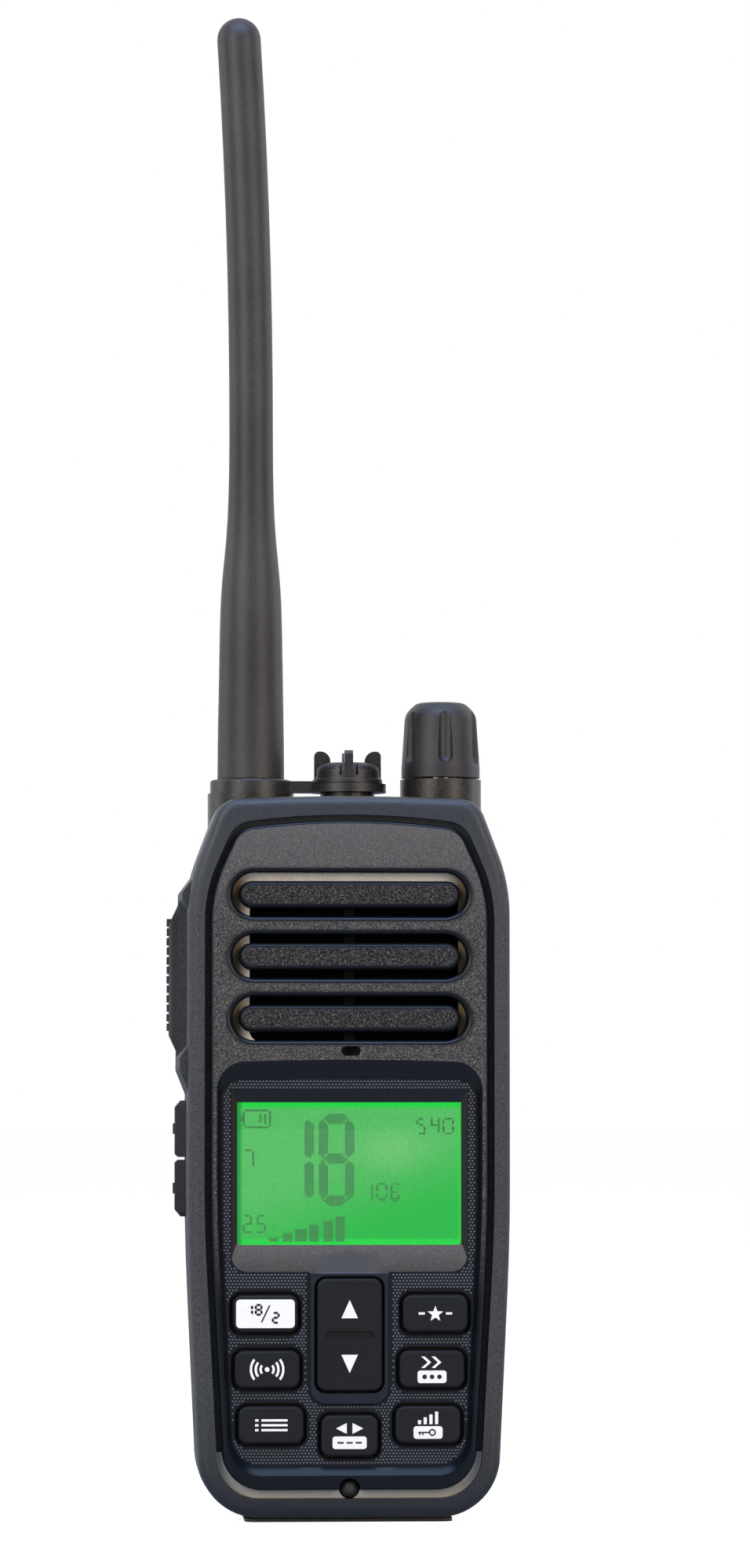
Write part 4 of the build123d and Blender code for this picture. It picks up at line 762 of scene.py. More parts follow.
def turned_bosses() -> tuple[Triple, ...]:
    """Finds the three round bosses on the crown.

    Returns:
        For each boss its axis, as x and y, and its radius.
    """
    bosses = []
    for node, radius in {"antenna_socket": 7.75, "jack_socket": 4.9, "volume_shaft": 7.3}.items():
        low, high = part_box(node)
        bosses.append(((low.x + high.x) / 2, (low.y + high.y) / 2, radius * MM))
    return tuple(bosses)


def speaker_slots() -> tuple[Triple, ...]:
    """Finds the three slots of the speaker from the bars that lie in them.

    Returns:
        For each slot its height, its half length and its radius.
    """
    pitch, bar_radius, gap = 10.92 * MM, 2.4 * MM, 1.45 * MM
    low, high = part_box("speaker_grille")
    half = (high.x - low.x) / 2 + gap
    return tuple((high.z - bar_radius - step * pitch, half, bar_radius + gap) for step in range(3))


class Finishes:
    """Every material of the radio, each made once."""

    def __init__(self) -> None:
        """Builds the materials."""
        # moulded ABS, spark-eroded: dull black with a fine grain, smooth towards the foot and darkened there
        # by painted shade
        shell = {"colour": "#353638", "roughness": 0.58, "fleck": "#46474a", "pit": "#232426",
                 "grain": 0.22 * MM, "relief": 0.05 * MM, "step": 0.13, "polish_and_shade": "#141a22",
                 "polish_roughness": 0.42, "fades": ((24.0 * MM, 2.0 * MM),)}
        self.case = SparkPlastic("abs_spark_case", **shell).material()
        # the same shell with a glossier crown in painted cool light, and inner walls painted black as the
        # shade in the groove
        self.front = SparkPlastic("abs_spark_front", inward=True, crown="#2a2f36", **shell).material()
        # the same shell with bright, slightly brown turned bosses, and the same painted cool light on its
        # crown
        self.rear = SparkPlastic(
            "abs_spark_rear", crown="#2a2f36", bosses=turned_bosses(), **shell).material()
        # moulded ABS, coarse spark texture: brownish flecks on the flats, bright navy-black slopes and slot
        # bands darkened partly by painted shade, and a painted lighter top
        panel = {"roughness": 0.58, "ior": 1.33, "step": 0.15, "polish_and_shade": "#0c1118", "polished_slopes": True}
        self.panel = SparkPlastic(
            "abs_spark_panel", "#3c3b38", fleck="#76736f", pit="#1a1918", grain=0.21 * MM, relief=0.1 * MM,
            crown="#666564", crown_roughness=0.5, crown_share=0.65, slots=speaker_slots(),
            polish_roughness=0.26, fades=((58.0 * MM, 38.0 * MM),), **panel).material()
        self.bars = SparkPlastic(
            "abs_spark_bars", "#232221", fleck="#5d5954", pit="#040404", grain=0.3 * MM, relief=0.2 * MM,
            polish_roughness=0.34, hollow=-16.4 * MM, **panel).material()
        # polycarbonate, polished and partly sandblasted: a blue-black satin with a grey slope
        self.plate = PlatePlastic("polycarbonate_plate", "#0e1218", 0.36, ior=1.38).material()
        # the studs' light grey and bright specks are painted highlight; they are the plate's own dark
        # polycarbonate
        self.stud = SatinPlastic("polycarbonate_stud_painted_highlight", "#5c6066", 0.3, dust_and_glint="#8a8d93").material()
        # thermoplastic rubber: the knob is the hardest, with deep black grooves and bright edges
        self.knob = MouldedRubber(
            "tpe_knob", "#131314", 0.4, bloom="#3f3f40", grain=0.22 * MM, relief=0.06 * MM).material()
        self.whip = MouldedRubber(
            "tpe_antenna", "#201f1f", 0.46, bloom="#413f3d", grain=0.3 * MM, relief=0.05 * MM).material()
        self.talk = MouldedRubber("tpe_talk_button", "#222426", 0.55, bloom="#3d3f42").material()
        # silicone: matte and soft on the keys; the other rubbers are shinier
        silicone = {"bloom": "#171a1f", "ior": 1.37}
        # the keys and rocker are drawn dark behind hollow, a painted shade in the gaps round them
        self.key = MouldedRubber("silicone_key", "#0b0e13", 0.6, hollow=-16.5 * MM, **silicone).material()
        self.rocker = MouldedRubber(
            "silicone_rocker", "#090c10", 0.6, hollow=-17.25 * MM, **silicone).material()
        self.rubber = MouldedRubber(
            "moulded_rubber", "#242425", 0.5, bloom="#49494a", grain=0.4 * MM).material()
        self.cap = MouldedRubber("moulded_cap_rubber", "#171718", 0.34, bloom="#3c3b3a", grain=0.3 * MM,
                                 relief=0.06 * MM).material()
        # printed inks: flat and slightly uneven
        self.white = PrintedInk("white_ink", "#fffffb", 0.45).material()
        self.black = PrintedInk("black_ink", "#101114", 0.5).material()
        # the display: a glowing film, its dark dots and a clear pane
        self.crystal = LitCrystal("liquid_crystal", "#5cc268", 0.3).material()
        self.segment = PrintedInk("crystal_segment", "#60b270", 0.5).material()
        self.pane = ClearPane("acrylic_lens", "#f4fbf6", 0.02, ior=1.49).material()
        # foam: white, turning tan towards its ends, where they look out of the slots
        self.foam = Sheet("foam_gasket", "#fffdf8", 0.6, mottle="#ece6da", relief=0.0,
                          ends=(17.5 * MM, 19.5 * MM)).material()
        # extruded sealing strip: pale grey, smooth and a little dusty
        self.strip = SatinPlastic("sealing_strip", "#a9a9a2", 0.28, ripple=2.0 * MM, relief=0.05 * MM,
                                  dust_and_glint="#7d7768").material()
        # papers, boards and films inside
        self.paper = Sheet("pressed_cone_paper", "#1c1b1a", 0.85, mottle="#3a3835", grain=0.8 * MM).material()
        self.board = Sheet("solder_resist", "#0e4a2a", 0.35, mottle="#1c6b40", grain=1.4 * MM).material()
        self.sleeve = Sheet("shrink_sleeve", "#1c3f8f", 0.3, mottle="#2c55a8", grain=3.0 * MM).material()
        self.guide = Sheet("light_guide", "#dff0df", 0.3, mottle="#c9e6c9", grain=1.0 * MM).material()
        # metals: bright, with fine tool marks
        self.zinc = PlainMetal("zinc_plated_steel", "#b6b8bc", 0.32).material()
        self.spring = PlainMetal("spring_steel", "#c9cacc", 0.24).material()
        self.brass = PlainMetal("turned_brass", "#c9a24e", 0.26).material()
        self.gold = PlainMetal("gold_plated_contact", "#d8b15a", 0.22).material()
        self.alloy = PlainMetal("cast_alloy", "#a9abae", 0.45).material()
        self.mesh = PlainMetal("blackened_mesh", "#0a0a0b", 0.6).material()


# ------------------------------------------------------------------------------------------- drawn shapes
class Artwork:
    """Flat shapes drawn in millimetres about a centre, turned into thin raised ink."""

    def __init__(self, centre: Point) -> None:
        """Starts an empty drawing.

        Args:
            centre: x and z of the drawing's own origin, in metres.
        """
        self.centre = centre
        self.loops: list[list[Point]] = []

    def polygon(self, *points: Point) -> Artwork:
        """Adds a closed shape from its corners, in millimetres."""
        self.loops.append(list(points))
        return self

    def bar(self, x: float, z: float, width: float, height: float) -> Artwork:
        """Adds a rectangle about a point."""
        w, h = width / 2, height / 2
        return self.polygon((x - w, z - h), (x + w, z - h), (x + w, z + h), (x - w, z + h))

    def stroke(self, start: Point, end: Point, width: float) -> Artwork:
        """Adds a straight stroke.

        Args:
            start: one end.
            end: the other end.
            width: its width.

        Returns:
            The drawing.
        """
        a, b = Vector(start), Vector(end)
        run = b - a
        side = Vector((-run.y, run.x)).normalized() * width / 2
        return self.polygon(*[tuple(p) for p in (a - side, b - side, b + side, a + side)])

    def disc(self, x: float, z: float, radius: float, sides: int = 20) -> Artwork:
        """Adds a disc as a polygon of so many sides."""
        angles = [i * 2 * math.pi / sides for i in range(sides)]
        return self.polygon(*[(x + radius * math.cos(a), z + radius * math.sin(a)) for a in angles])

    def arc(self, x: float, z: float, radius: float, width: float, start: float, end: float) -> Artwork:
        """Adds an arc-shaped stroke, as a row of short pieces.

        Args:
            x: the centre across.
            z: the centre up.
            radius: the radius along the stroke's middle.
            width: its width.
            start: where it starts, in degrees.
            end: where it ends, in degrees.

        Returns:
            The drawing.
        """
        steps = max(3, int(abs(end - start) / 15))
        angles = [math.radians(start + (end - start) * i / steps) for i in range(steps + 1)]
        inner, outer = radius - width / 2, radius + width / 2
        for a, b in zip(angles, angles[1:]):
            corners = ((inner, a), (outer, a), (outer, b), (inner, b))
            self.polygon(*[(x + r * math.cos(t), z + r * math.sin(t)) for r, t in corners])
        return self

    def lozenge(self, x: float, z: float, width: float, height: float, corner: float) -> Artwork:
        """Adds a rectangle with round corners.

        Args:
            x: the centre across.
            z: the centre up.
            width: its width.
            height: its height.
            corner: the radius of its corners.

        Returns:
            The drawing.
        """
        points = []
        for cx, cz, first in ((1, 1, 0), (-1, 1, 90), (-1, -1, 180), (1, -1, 270)):
            for step in range(6):
                angle = math.radians(first + 18 * step)
                points.append((x + cx * (width / 2 - corner) + corner * math.cos(angle),
                               z + cz * (height / 2 - corner) + corner * math.sin(angle)))
        return self.polygon(*points)

    def star(self, x: float, z: float, radius: float) -> Artwork:
        """Adds a five-pointed star."""
        tips_and_dents = (radius, radius * 0.42) * 5
        return self.polygon(*[(x + reach * math.sin(math.radians(36 * i)),
                               z + reach * math.cos(math.radians(36 * i)))
                              for i, reach in enumerate(tips_and_dents)])

    def segments(self, digit: str, x: float, z: float, width: float, height: float, thick: float) -> Artwork:
        """Adds a seven-segment digit.

        Args:
            digit: one character from 0 to 9.
            x: centre across, in millimetres.
            z: centre up, in millimetres.
            width: width over the outer edges.
            height: height over the outer edges.
            thick: thickness of a segment.

        Returns:
            The drawing.
        """
        lit = ("abcdef", "bc", "abdeg", "abcdg", "bcfg", "acdfg", "acdefg", "abc", "abcdefg",
               "abcdfg")[int(digit)]
        w, h, t, gap = width / 2 - thick / 2, height / 2 - thick / 2, thick / 2, thick * 0.12
        ends = {"a": ((-w, h), (w, h)), "g": ((-w, 0), (w, 0)), "d": ((-w, -h), (w, -h)),
                "b": ((w, h), (w, 0)), "c": ((w, 0), (w, -h)), "f": ((-w, h), (-w, 0)),
                "e": ((-w, 0), (-w, -h))}
        for name in lit:
            a, b = (Vector(p) for p in ends[name])
            run = (b - a).normalized()
            side = Vector((-run.y, run.x)) * t
            a, b = a + run * gap, b - run * gap
            outline = (a, a + run * t - side, b - run * t - side, b, b - run * t + side, a + run * t + side)
            self.polygon(*[(x + p.x, z + p.y) for p in outline])
        return self

    def build(self, name: str, front: float, depth: float) -> bpy.types.Object:
        """Makes the drawing a mesh that stands proud of a front face.

        Args:
            name: the piece's name.
            front: y of the face that it lies on, in metres.
            depth: how far it stands out towards the user, in metres.

        Returns:
            The object.
        """
        shape = bmesh.new()
        across, upward = self.centre
        for loop in self.loops:
            near, far = ([shape.verts.new((across + x * MM, y, upward + z * MM)) for x, z in loop]
                         for y in (front - depth, front))
            shape.faces.new(near)
            shape.faces.new(far[::-1])
            for i in range(len(loop)):
                j = (i + 1) % len(loop)
                shape.faces.new((near[j], near[i], far[i], far[j]))
        bmesh.ops.recalc_face_normals(shape, faces=shape.faces)
        return object_from(shape, name)


# ------------------------------------------------------------------------------------------- placing trees
class TreeMaker:
    """A geometry tree with named inputs, which makes one plain mesh each time it is run."""

    def __init__(self, name: str, inputs: dict[str, str]) -> None:
        """Builds the tree once.

        Args:
            name: the tree's name.
            inputs: the kind of socket for each input's name.
        """
        self.tree = bpy.data.node_groups.new(name, "GeometryNodeTree")
        self.sockets = {}
        for title, kind in {"Geometry": "Geometry", **inputs, "Material": "Material"}.items():
            socket = self.tree.interface.new_socket(title, in_out="INPUT", socket_type=f"NodeSocket{kind}")
            self.sockets[title] = socket.identifier
        self.tree.interface.new_socket("Geometry", in_out="OUTPUT", socket_type="NodeSocketGeometry")
        self.wire()

    def wire(self) -> None:
        """Wires the whole tree."""
        raise NotImplementedError

    def close(self, shape: Source, material: Socket) -> None:
        """Ends the tree with real geometry in its material.

        Args:
            shape: the finished shape.
            material: its material.
        """
        real = put(self.tree, "GeometryNodeRealizeInstances", {"Geometry": shape})
        painted = put(self.tree, "GeometryNodeSetMaterial", {"Geometry": real, "Material": material})
        put(self.tree, "NodeGroupOutput", {0: painted})

    def run(self, name: str, **values) -> bpy.types.Object:
        """Runs the tree and returns the result as a plain mesh.

        Args:
            name: the finished piece's name.
            values: the tree's inputs, with underscores for spaces.

        Returns:
            The finished piece.
        """
        holder = new_object(f"{name}_holder", bpy.data.meshes.new(f"{name}_holder"))
        modifier = holder.modifiers.new("tree", "NODES")
        modifier.node_group = self.tree
        for key, value in values.items():
            modifier[self.sockets[key.replace("_", " ")]] = value
        graph = bpy.context.evaluated_depsgraph_get()
        mesh = bpy.data.meshes.new_from_object(holder.evaluated_get(graph), depsgraph=graph)
        mesh.name = name
        bpy.data.objects.remove(holder)
        return new_object(name, mesh)


class SpringWinder(TreeMaker):
    """Winds a coil spring of round wire upwards from each of two seats."""

    def __init__(self) -> None:
        """Names the inputs and builds the tree."""
        super().__init__("wind_two_springs", {
            "Coil Radius": "Float", "Wire Radius": "Float", "Turns": "Float", "Height": "Float",
            "First Seat": "Vector", "Second Seat": "Vector"})

    def wire(self) -> None:
        """Wires the whole tree."""
        tree = self.tree
        given = put(tree, "NodeGroupInput")
        radius = given.outputs["Coil Radius"]
        coil = put(tree, "GeometryNodeCurveSpiral", {
            "Resolution": 14, "Rotations": given.outputs["Turns"], "Start Radius": radius,
            "End Radius": radius, "Height": given.outputs["Height"]})
        ring = put(tree, "GeometryNodeCurvePrimitiveCircle", {
            "Resolution": 8, "Radius": given.outputs["Wire Radius"]})
        tube = put(tree, "GeometryNodeCurveToMesh", {"Curve": coil, "Profile Curve": ring, "Fill Caps": True})
        both = put(tree, "GeometryNodeJoinGeometry")
        for seat in ("First Seat", "Second Seat"):
            feed(tree, both, {0: put(tree, "GeometryNodeTransform", {
                "Geometry": tube, "Translation": given.outputs[seat]})})
        self.close(both, given.outputs["Material"])


class FaceFiller(TreeMaker):
    """Sets a small template on every point of a grid that looks onto a target's front face.

    The grid hangs stand_off in front of the face and looks back as far as reach. A point stays where it meets
    the target within flat of the face's depth. A face whose normal's Y isn't below front is a wall, and no
    template stands nearer to one than the margin.
    """

    stand_off: float = 5 * MM
    reach: float = 20 * MM
    flat: float = 0.03 * MM
    front: float = -0.999

    def __init__(self) -> None:
        """Names the inputs and builds the tree."""
        super().__init__("fill_front_face", {
            "Target": "Object", "Template": "Object", "Pitch Across": "Float", "Pitch Up": "Float",
            "Stagger": "Float", "Margin": "Float", "Face Depth": "Float"})

    def grid(self, given: Node, target: Socket) -> Node:
        """Makes the staggered grid of points in front of the target.

        Args:
            given: the group's input node.
            target: the target's geometry.

        Returns:
            The grid's points.
        """
        tree = self.tree
        limits = put(tree, "GeometryNodeBoundBox", {"Geometry": target})
        low, high = limits.outputs["Min"], limits.outputs["Max"]
        size, double = (put(tree, "ShaderNodeVectorMath", {0: high, 1: low}, operation=way)
                        for way in ("SUBTRACT", "ADD"))
        middle = put(tree, "ShaderNodeVectorMath", {0: double, "Scale": 0.5}, operation="SCALE")
        at = put(tree, "ShaderNodeSeparateXYZ", {"Vector": middle})
        extent = put(tree, "ShaderNodeSeparateXYZ", {"Vector": size})
        counts, lengths = [], []
        for axis, title in (("X", "Pitch Across"), ("Z", "Pitch Up")):
            pitch = given.outputs[title]
            share = put(tree, "ShaderNodeMath", {0: extent.outputs[axis], 1: pitch}, operation="DIVIDE")
            steps = put(tree, "ShaderNodeMath", {0: share}, operation="FLOOR")
            lengths.append(put(tree, "ShaderNodeMath", {0: steps, 1: pitch}, operation="MULTIPLY"))
            counts.append(put(tree, "ShaderNodeMath", {0: steps, 1: 1.0}, operation="ADD"))
        grid = put(tree, "GeometryNodeMeshGrid", {
            "Size X": lengths[0], "Size Y": lengths[1], "Vertices X": counts[0], "Vertices Y": counts[1]})
        index = put(tree, "GeometryNodeInputIndex")
        row = put(tree, "ShaderNodeMath", {0: index, 1: counts[1]}, operation="MODULO")
        odd = put(tree, "ShaderNodeMath", {0: row, 1: 2.0}, operation="MODULO")
        part = put(tree, "ShaderNodeMath", {0: odd, 1: given.outputs["Stagger"]}, operation="MULTIPLY")
        nudge = put(tree, "ShaderNodeMath", {0: part, 1: given.outputs["Pitch Across"]}, operation="MULTIPLY")
        shifted = put(tree, "GeometryNodeSetPosition", {
            "Geometry": grid, "Offset": put(tree, "ShaderNodeCombineXYZ", {"X": nudge})})
        depth = put(tree, "ShaderNodeMath", {
            0: given.outputs["Face Depth"], 1: self.stand_off}, operation="SUBTRACT")
        place = put(tree, "ShaderNodeCombineXYZ", {"X": at.outputs["X"], "Y": depth, "Z": at.outputs["Z"]})
        return put(tree, "GeometryNodeTransform", {
            "Geometry": shifted, "Rotation": (math.pi / 2, 0.0, 0.0), "Translation": place})

    def wire(self) -> None:
        """Wires the whole tree."""
        tree = self.tree
        given = put(tree, "NodeGroupInput")
        target = put(tree, "GeometryNodeObjectInfo", {"Object": given.outputs["Target"]}).outputs["Geometry"]
        stud = put(tree, "GeometryNodeObjectInfo", {"Object": given.outputs["Template"]}).outputs["Geometry"]
        grid = self.grid(given, target)
        ray = put(tree, "GeometryNodeRaycast", {
            "Target Geometry": target, "Source Position": put(tree, "GeometryNodeInputPosition"),
            "Ray Direction": (0.0, 1.0, 0.0), "Ray Length": self.reach})
        hit = put(tree, "ShaderNodeSeparateXYZ", {"Vector": ray.outputs["Hit Position"]})
        level = put(tree, "FunctionNodeCompare", {
            0: hit.outputs["Y"], 1: given.outputs["Face Depth"], "Epsilon": self.flat},
            data_type="FLOAT", operation="EQUAL")
        facing = put(tree, "ShaderNodeSeparateXYZ", {"Vector": put(tree, "GeometryNodeInputNormal")})
        front = put(tree, "FunctionNodeCompare", {
            0: facing.outputs["Y"], 1: self.front}, data_type="FLOAT", operation="LESS_THAN")
        walls = put(tree, "GeometryNodeDeleteGeometry", {
            "Geometry": target, "Selection": front}, domain="FACE")
        nearest = put(tree, "GeometryNodeProximity", {
            0: walls, "Sample Position": ray.outputs["Hit Position"]}, target_element="FACES")
        clear = put(tree, "FunctionNodeCompare", {
            0: nearest.outputs["Distance"], 1: given.outputs["Margin"]}, data_type="FLOAT",
            operation="GREATER_THAN")
        both = put(tree, "FunctionNodeBooleanMath", {0: level, 1: clear}, operation="AND")
        keep = put(tree, "FunctionNodeBooleanMath", {0: both, 1: ray.outputs["Is Hit"]}, operation="AND")
        points = put(tree, "GeometryNodeMeshToPoints", {"Mesh": grid, "Selection": keep})
        seated = put(tree, "GeometryNodeSetPosition", {
            "Geometry": points, "Offset": (0.0, self.stand_off, 0.0)})
        placed = put(tree, "GeometryNodeInstanceOnPoints", {"Points": seated, "Instance": stud})
        self.close(placed, given.outputs["Material"])


def stud_template(radius: float, height: float) -> bpy.types.Object:
    """Makes one keypad stud: a low six-sided dome that points to the front.

    Args:
        radius: its foot's radius.
        height: how far it stands out.

    Returns:
        The template object, to be removed after use.
    """
    shape = bmesh.new()
    # each ring's share of the radius and of the height; the foot sinks a little into the face
    profile = ((1.0, -0.2), (0.82, 0.5), (0.4, 1.0))
    rings = [[shape.verts.new((radius * share * math.cos(math.radians(60 * i)), -height * rise,
                               radius * share * math.sin(math.radians(60 * i)))) for i in range(6)]
             for share, rise in profile]
    for low, high in zip(rings, rings[1:]):
        for i in range(6):
            j = (i + 1) % 6
            shape.faces.new((low[i], low[j], high[j], high[i]))
    shape.faces.new(rings[-1])
    bmesh.ops.recalc_face_normals(shape, faces=shape.faces)
    return object_from(shape, "stud")


def tile_template(width: float, height: float, depth: float) -> bpy.types.Object:
    """Makes one display dot: a thin rectangle that faces the front.

    Args:
        width: its size across.
        height: its size upwards.
        depth: its thickness.

    Returns:
        The template object, to be removed after use.
    """
    shape = bmesh.new()
    bmesh.ops.create_cube(shape, size=1.0, matrix=Matrix.Diagonal((width, depth, height, 1.0)))
    return object_from(shape, "tile")


# ------------------------------------------------------------------------------------------- sub-assemblies
@dataclass
class SubAssembly:
    """Nodes of the CAD that belong together."""

    finishes: Finishes

    def coats(self) -> dict[str, Material]:
        """Lists the finish of each node."""
        raise NotImplementedError

    def dress(self) -> None:
        """Gives each node its material, and only that."""
        for node, material in self.coats().items():
            slots = NODES[node].data.materials
            slots.clear()
            slots.append(material)
            LOG.info("node %s: %s", node, material.name)


@dataclass
class Case(SubAssembly):
    """The two shells, their seal and screws, the foot and the frame inside."""

    def coats(self) -> dict[str, Material]:
        """Lists the finish of each node."""
        f = self.finishes
        return {"front_housing": f.front, "rear_housing": f.rear, "base_foot": f.rubber,
                "housing_seal": f.rubber, "case_screws": f.zinc, "chassis_plate": f.alloy}


@dataclass
class FrontPanel(SubAssembly):
    """The textured panel with its slots, and what sits behind and round it."""

    def coats(self) -> dict[str, Material]:
        """Lists the finish of each node."""
        f = self.finishes
        return {"front_panel": f.panel, "panel_seal": f.strip, "vent_plug": f.rubber,
                "speaker_grille": f.bars, "speaker_gasket": f.foam, "speaker_mesh": f.mesh,
                "speaker_frame": f.zinc, "speaker_cone": f.paper, "microphone": f.paper}


class Icon(Enum):
    """What stands on a key."""

    CHANNEL = "key_channel"
    WAVES = "key_call"
    LIST = "key_menu"
    STAR = "key_favourite"
    WATCH = "key_watch"
    POWER = "key_power_lock"
    SEEK = "key_scan"
    UP_DOWN = "key_rocker"


@dataclass
class Keypad(SubAssembly):
    """The plate with its studs, the keys and what is printed on them.

    The badge is the white lozenge that carries a key's second function, in millimetres.
    """

    filler: FaceFiller
    stud_across: float = 0.595 * MM
    stud_up: float = 0.54 * MM
    stud_radius: float = 0.23 * MM
    stud_height: float = 0.16 * MM
    stud_margin: float = 0.34 * MM
    plate_front: float = -16.6 * MM
    ink: float = 0.03 * MM
    badge_width: float = 5.1
    badge_height: float = 2.2
    badge_corner: float = 0.5

    def studs(self) -> None:
        """Covers the plate's flat front with staggered studs."""
        template = stud_template(self.stud_radius, self.stud_height)
        piece = self.filler.run(
            "plate_studs", Target=NODES["keypad_plate"], Template=template, Pitch_Across=self.stud_across,
            Pitch_Up=self.stud_up, Stagger=0.5, Margin=self.stud_margin, Face_Depth=self.plate_front,
            Material=self.finishes.stud)
        bpy.data.objects.remove(template)
        finish_piece(piece, self.finishes.stud, "root")

    def centre(self, node: str) -> tuple[Point, float]:
        """Finds a key's face.

        Args:
            node: the key's node.

        Returns:
            The face's centre, as x and z, and its depth.
        """
        low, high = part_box(node)
        return ((low.x + high.x) / 2, (low.z + high.z) / 2), low.y

    def badge(self, art: Artwork, z: float) -> Artwork:
        """Adds the white lozenge that carries a key's second function."""
        return art.lozenge(0, z, self.badge_width, self.badge_height, self.badge_corner)

    def white_art(self, icon: Icon, at: Point) -> Artwork:
        """Draws what is printed in white on a key.

        Args:
            icon: which legend.
            at: the key's centre.

        Returns:
            The drawing.
        """
        art = Artwork(at)
        if icon is Icon.CHANNEL:
            return art.lozenge(0, 0, 10.3, 5.0, 0.7)
        if icon is Icon.WAVES:
            art.disc(0, 0, 0.42)
            for radius in (1.15, 2.0, 2.85):
                art.arc(0, 0, radius, 0.42, -38, 38).arc(0, 0, radius, 0.42, 142, 218)
            return art
        if icon is Icon.LIST:
            for z in (-0.85, 0.0, 0.85):
                art.bar(0.6, z, 4.6, 0.4).bar(-2.5, z, 0.6, 0.4)
            return art
        if icon is Icon.STAR:
            return art.star(0, -0.1, 1.45).bar(-2.4, 0, 1.1, 0.4).bar(2.4, 0, 1.1, 0.4)
        if icon is Icon.WATCH:
            for x in (-1.9, -0.1):
                art.polygon((x, 2.2), (x + 0.62, 2.2), (x + 1.75, 1.2), (x + 0.62, 0.2), (x, 0.2),
                            (x + 1.13, 1.2))
            return self.badge(art, -1.35)
        if icon is Icon.POWER:
            for step, height in enumerate((0.7, 1.2, 1.7, 2.2)):
                art.bar(-1.5 + step, 0.1 + height / 2, 0.55, height)
            return self.badge(art, -1.35)
        if icon is Icon.SEEK:
            art.polygon((-0.5, 0.35), (-0.5, 2.25), (-2.4, 1.3)).polygon((0.5, 0.35), (2.4, 1.3), (0.5, 2.25))
            return art.lozenge(0, -1.2, 6.0, self.badge_height, self.badge_corner)
        # the rocker's two arrows: how high each stands, half its width and half its height
        up, down, half, tall = 4.5, -5.1, 1.45, 1.6
        return art.polygon((-half, up - tall), (half, up - tall), (0, up + tall)).polygon(
            (-half, down + tall), (0, down - tall), (half, down + tall))

    def black_art(self, icon: Icon, at: Point) -> Artwork | None:
        """Draws what is printed in black over the white.

        Args:
            icon: which legend.
            at: the key's centre.

        Returns:
            The drawing, or None for a key without black print.
        """
        art = Artwork(at)
        if icon is Icon.CHANNEL:
            art.stroke((-0.7, -1.5), (0.75, 1.5), 0.26)
            art.segments("1", -2.75, 0.7, 1.2, 2.1, 0.42).segments("8", -1.2, 0.7, 1.4, 2.1, 0.4)
            return art.segments("2", 1.8, -0.7, 1.4, 2.1, 0.4)
        if icon is Icon.WATCH:
            for x in (-1.3, 0, 1.3):
                art.disc(x, -1.35, 0.4)
            return art
        if icon is Icon.POWER:
            art.arc(0.75, -1.35, 0.5, 0.26, 0, 360).bar(-0.75, -1.35, 2.0, 0.26)
            return art.bar(-1.45, -1.6, 0.26, 0.35).bar(-0.9, -1.6, 0.26, 0.35)
        if icon is Icon.SEEK:
            for x in (-1.6, 0, 1.6):
                art.bar(x, -1.2, 1.1, 0.3)
            return art
        return None

    def legends(self) -> None:
        """Prints every key."""
        for icon in Icon:
            at, front = self.centre(icon.value)
            white = self.white_art(icon, at).build(f"{icon.value}_print", front, self.ink)
            finish_piece(white, self.finishes.white, icon.value)
            over = self.black_art(icon, at)
            if over is not None:
                black = over.build(f"{icon.value}_overprint", front - self.ink, self.ink)
                finish_piece(black, self.finishes.black, icon.value)

    def coats(self) -> dict[str, Material]:
        """Lists the finish of each node."""
        f = self.finishes
        keys = {icon.value: f.rocker if icon is Icon.UP_DOWN else f.key for icon in Icon}
        return {"keypad_plate": f.plate, **keys, "key_mat": f.rubber, "dome_switches": f.zinc,
                "keypad_board": f.board}

    def make(self) -> None:
        """Sets the studs and prints the keys."""
        self.studs()
        self.legends()


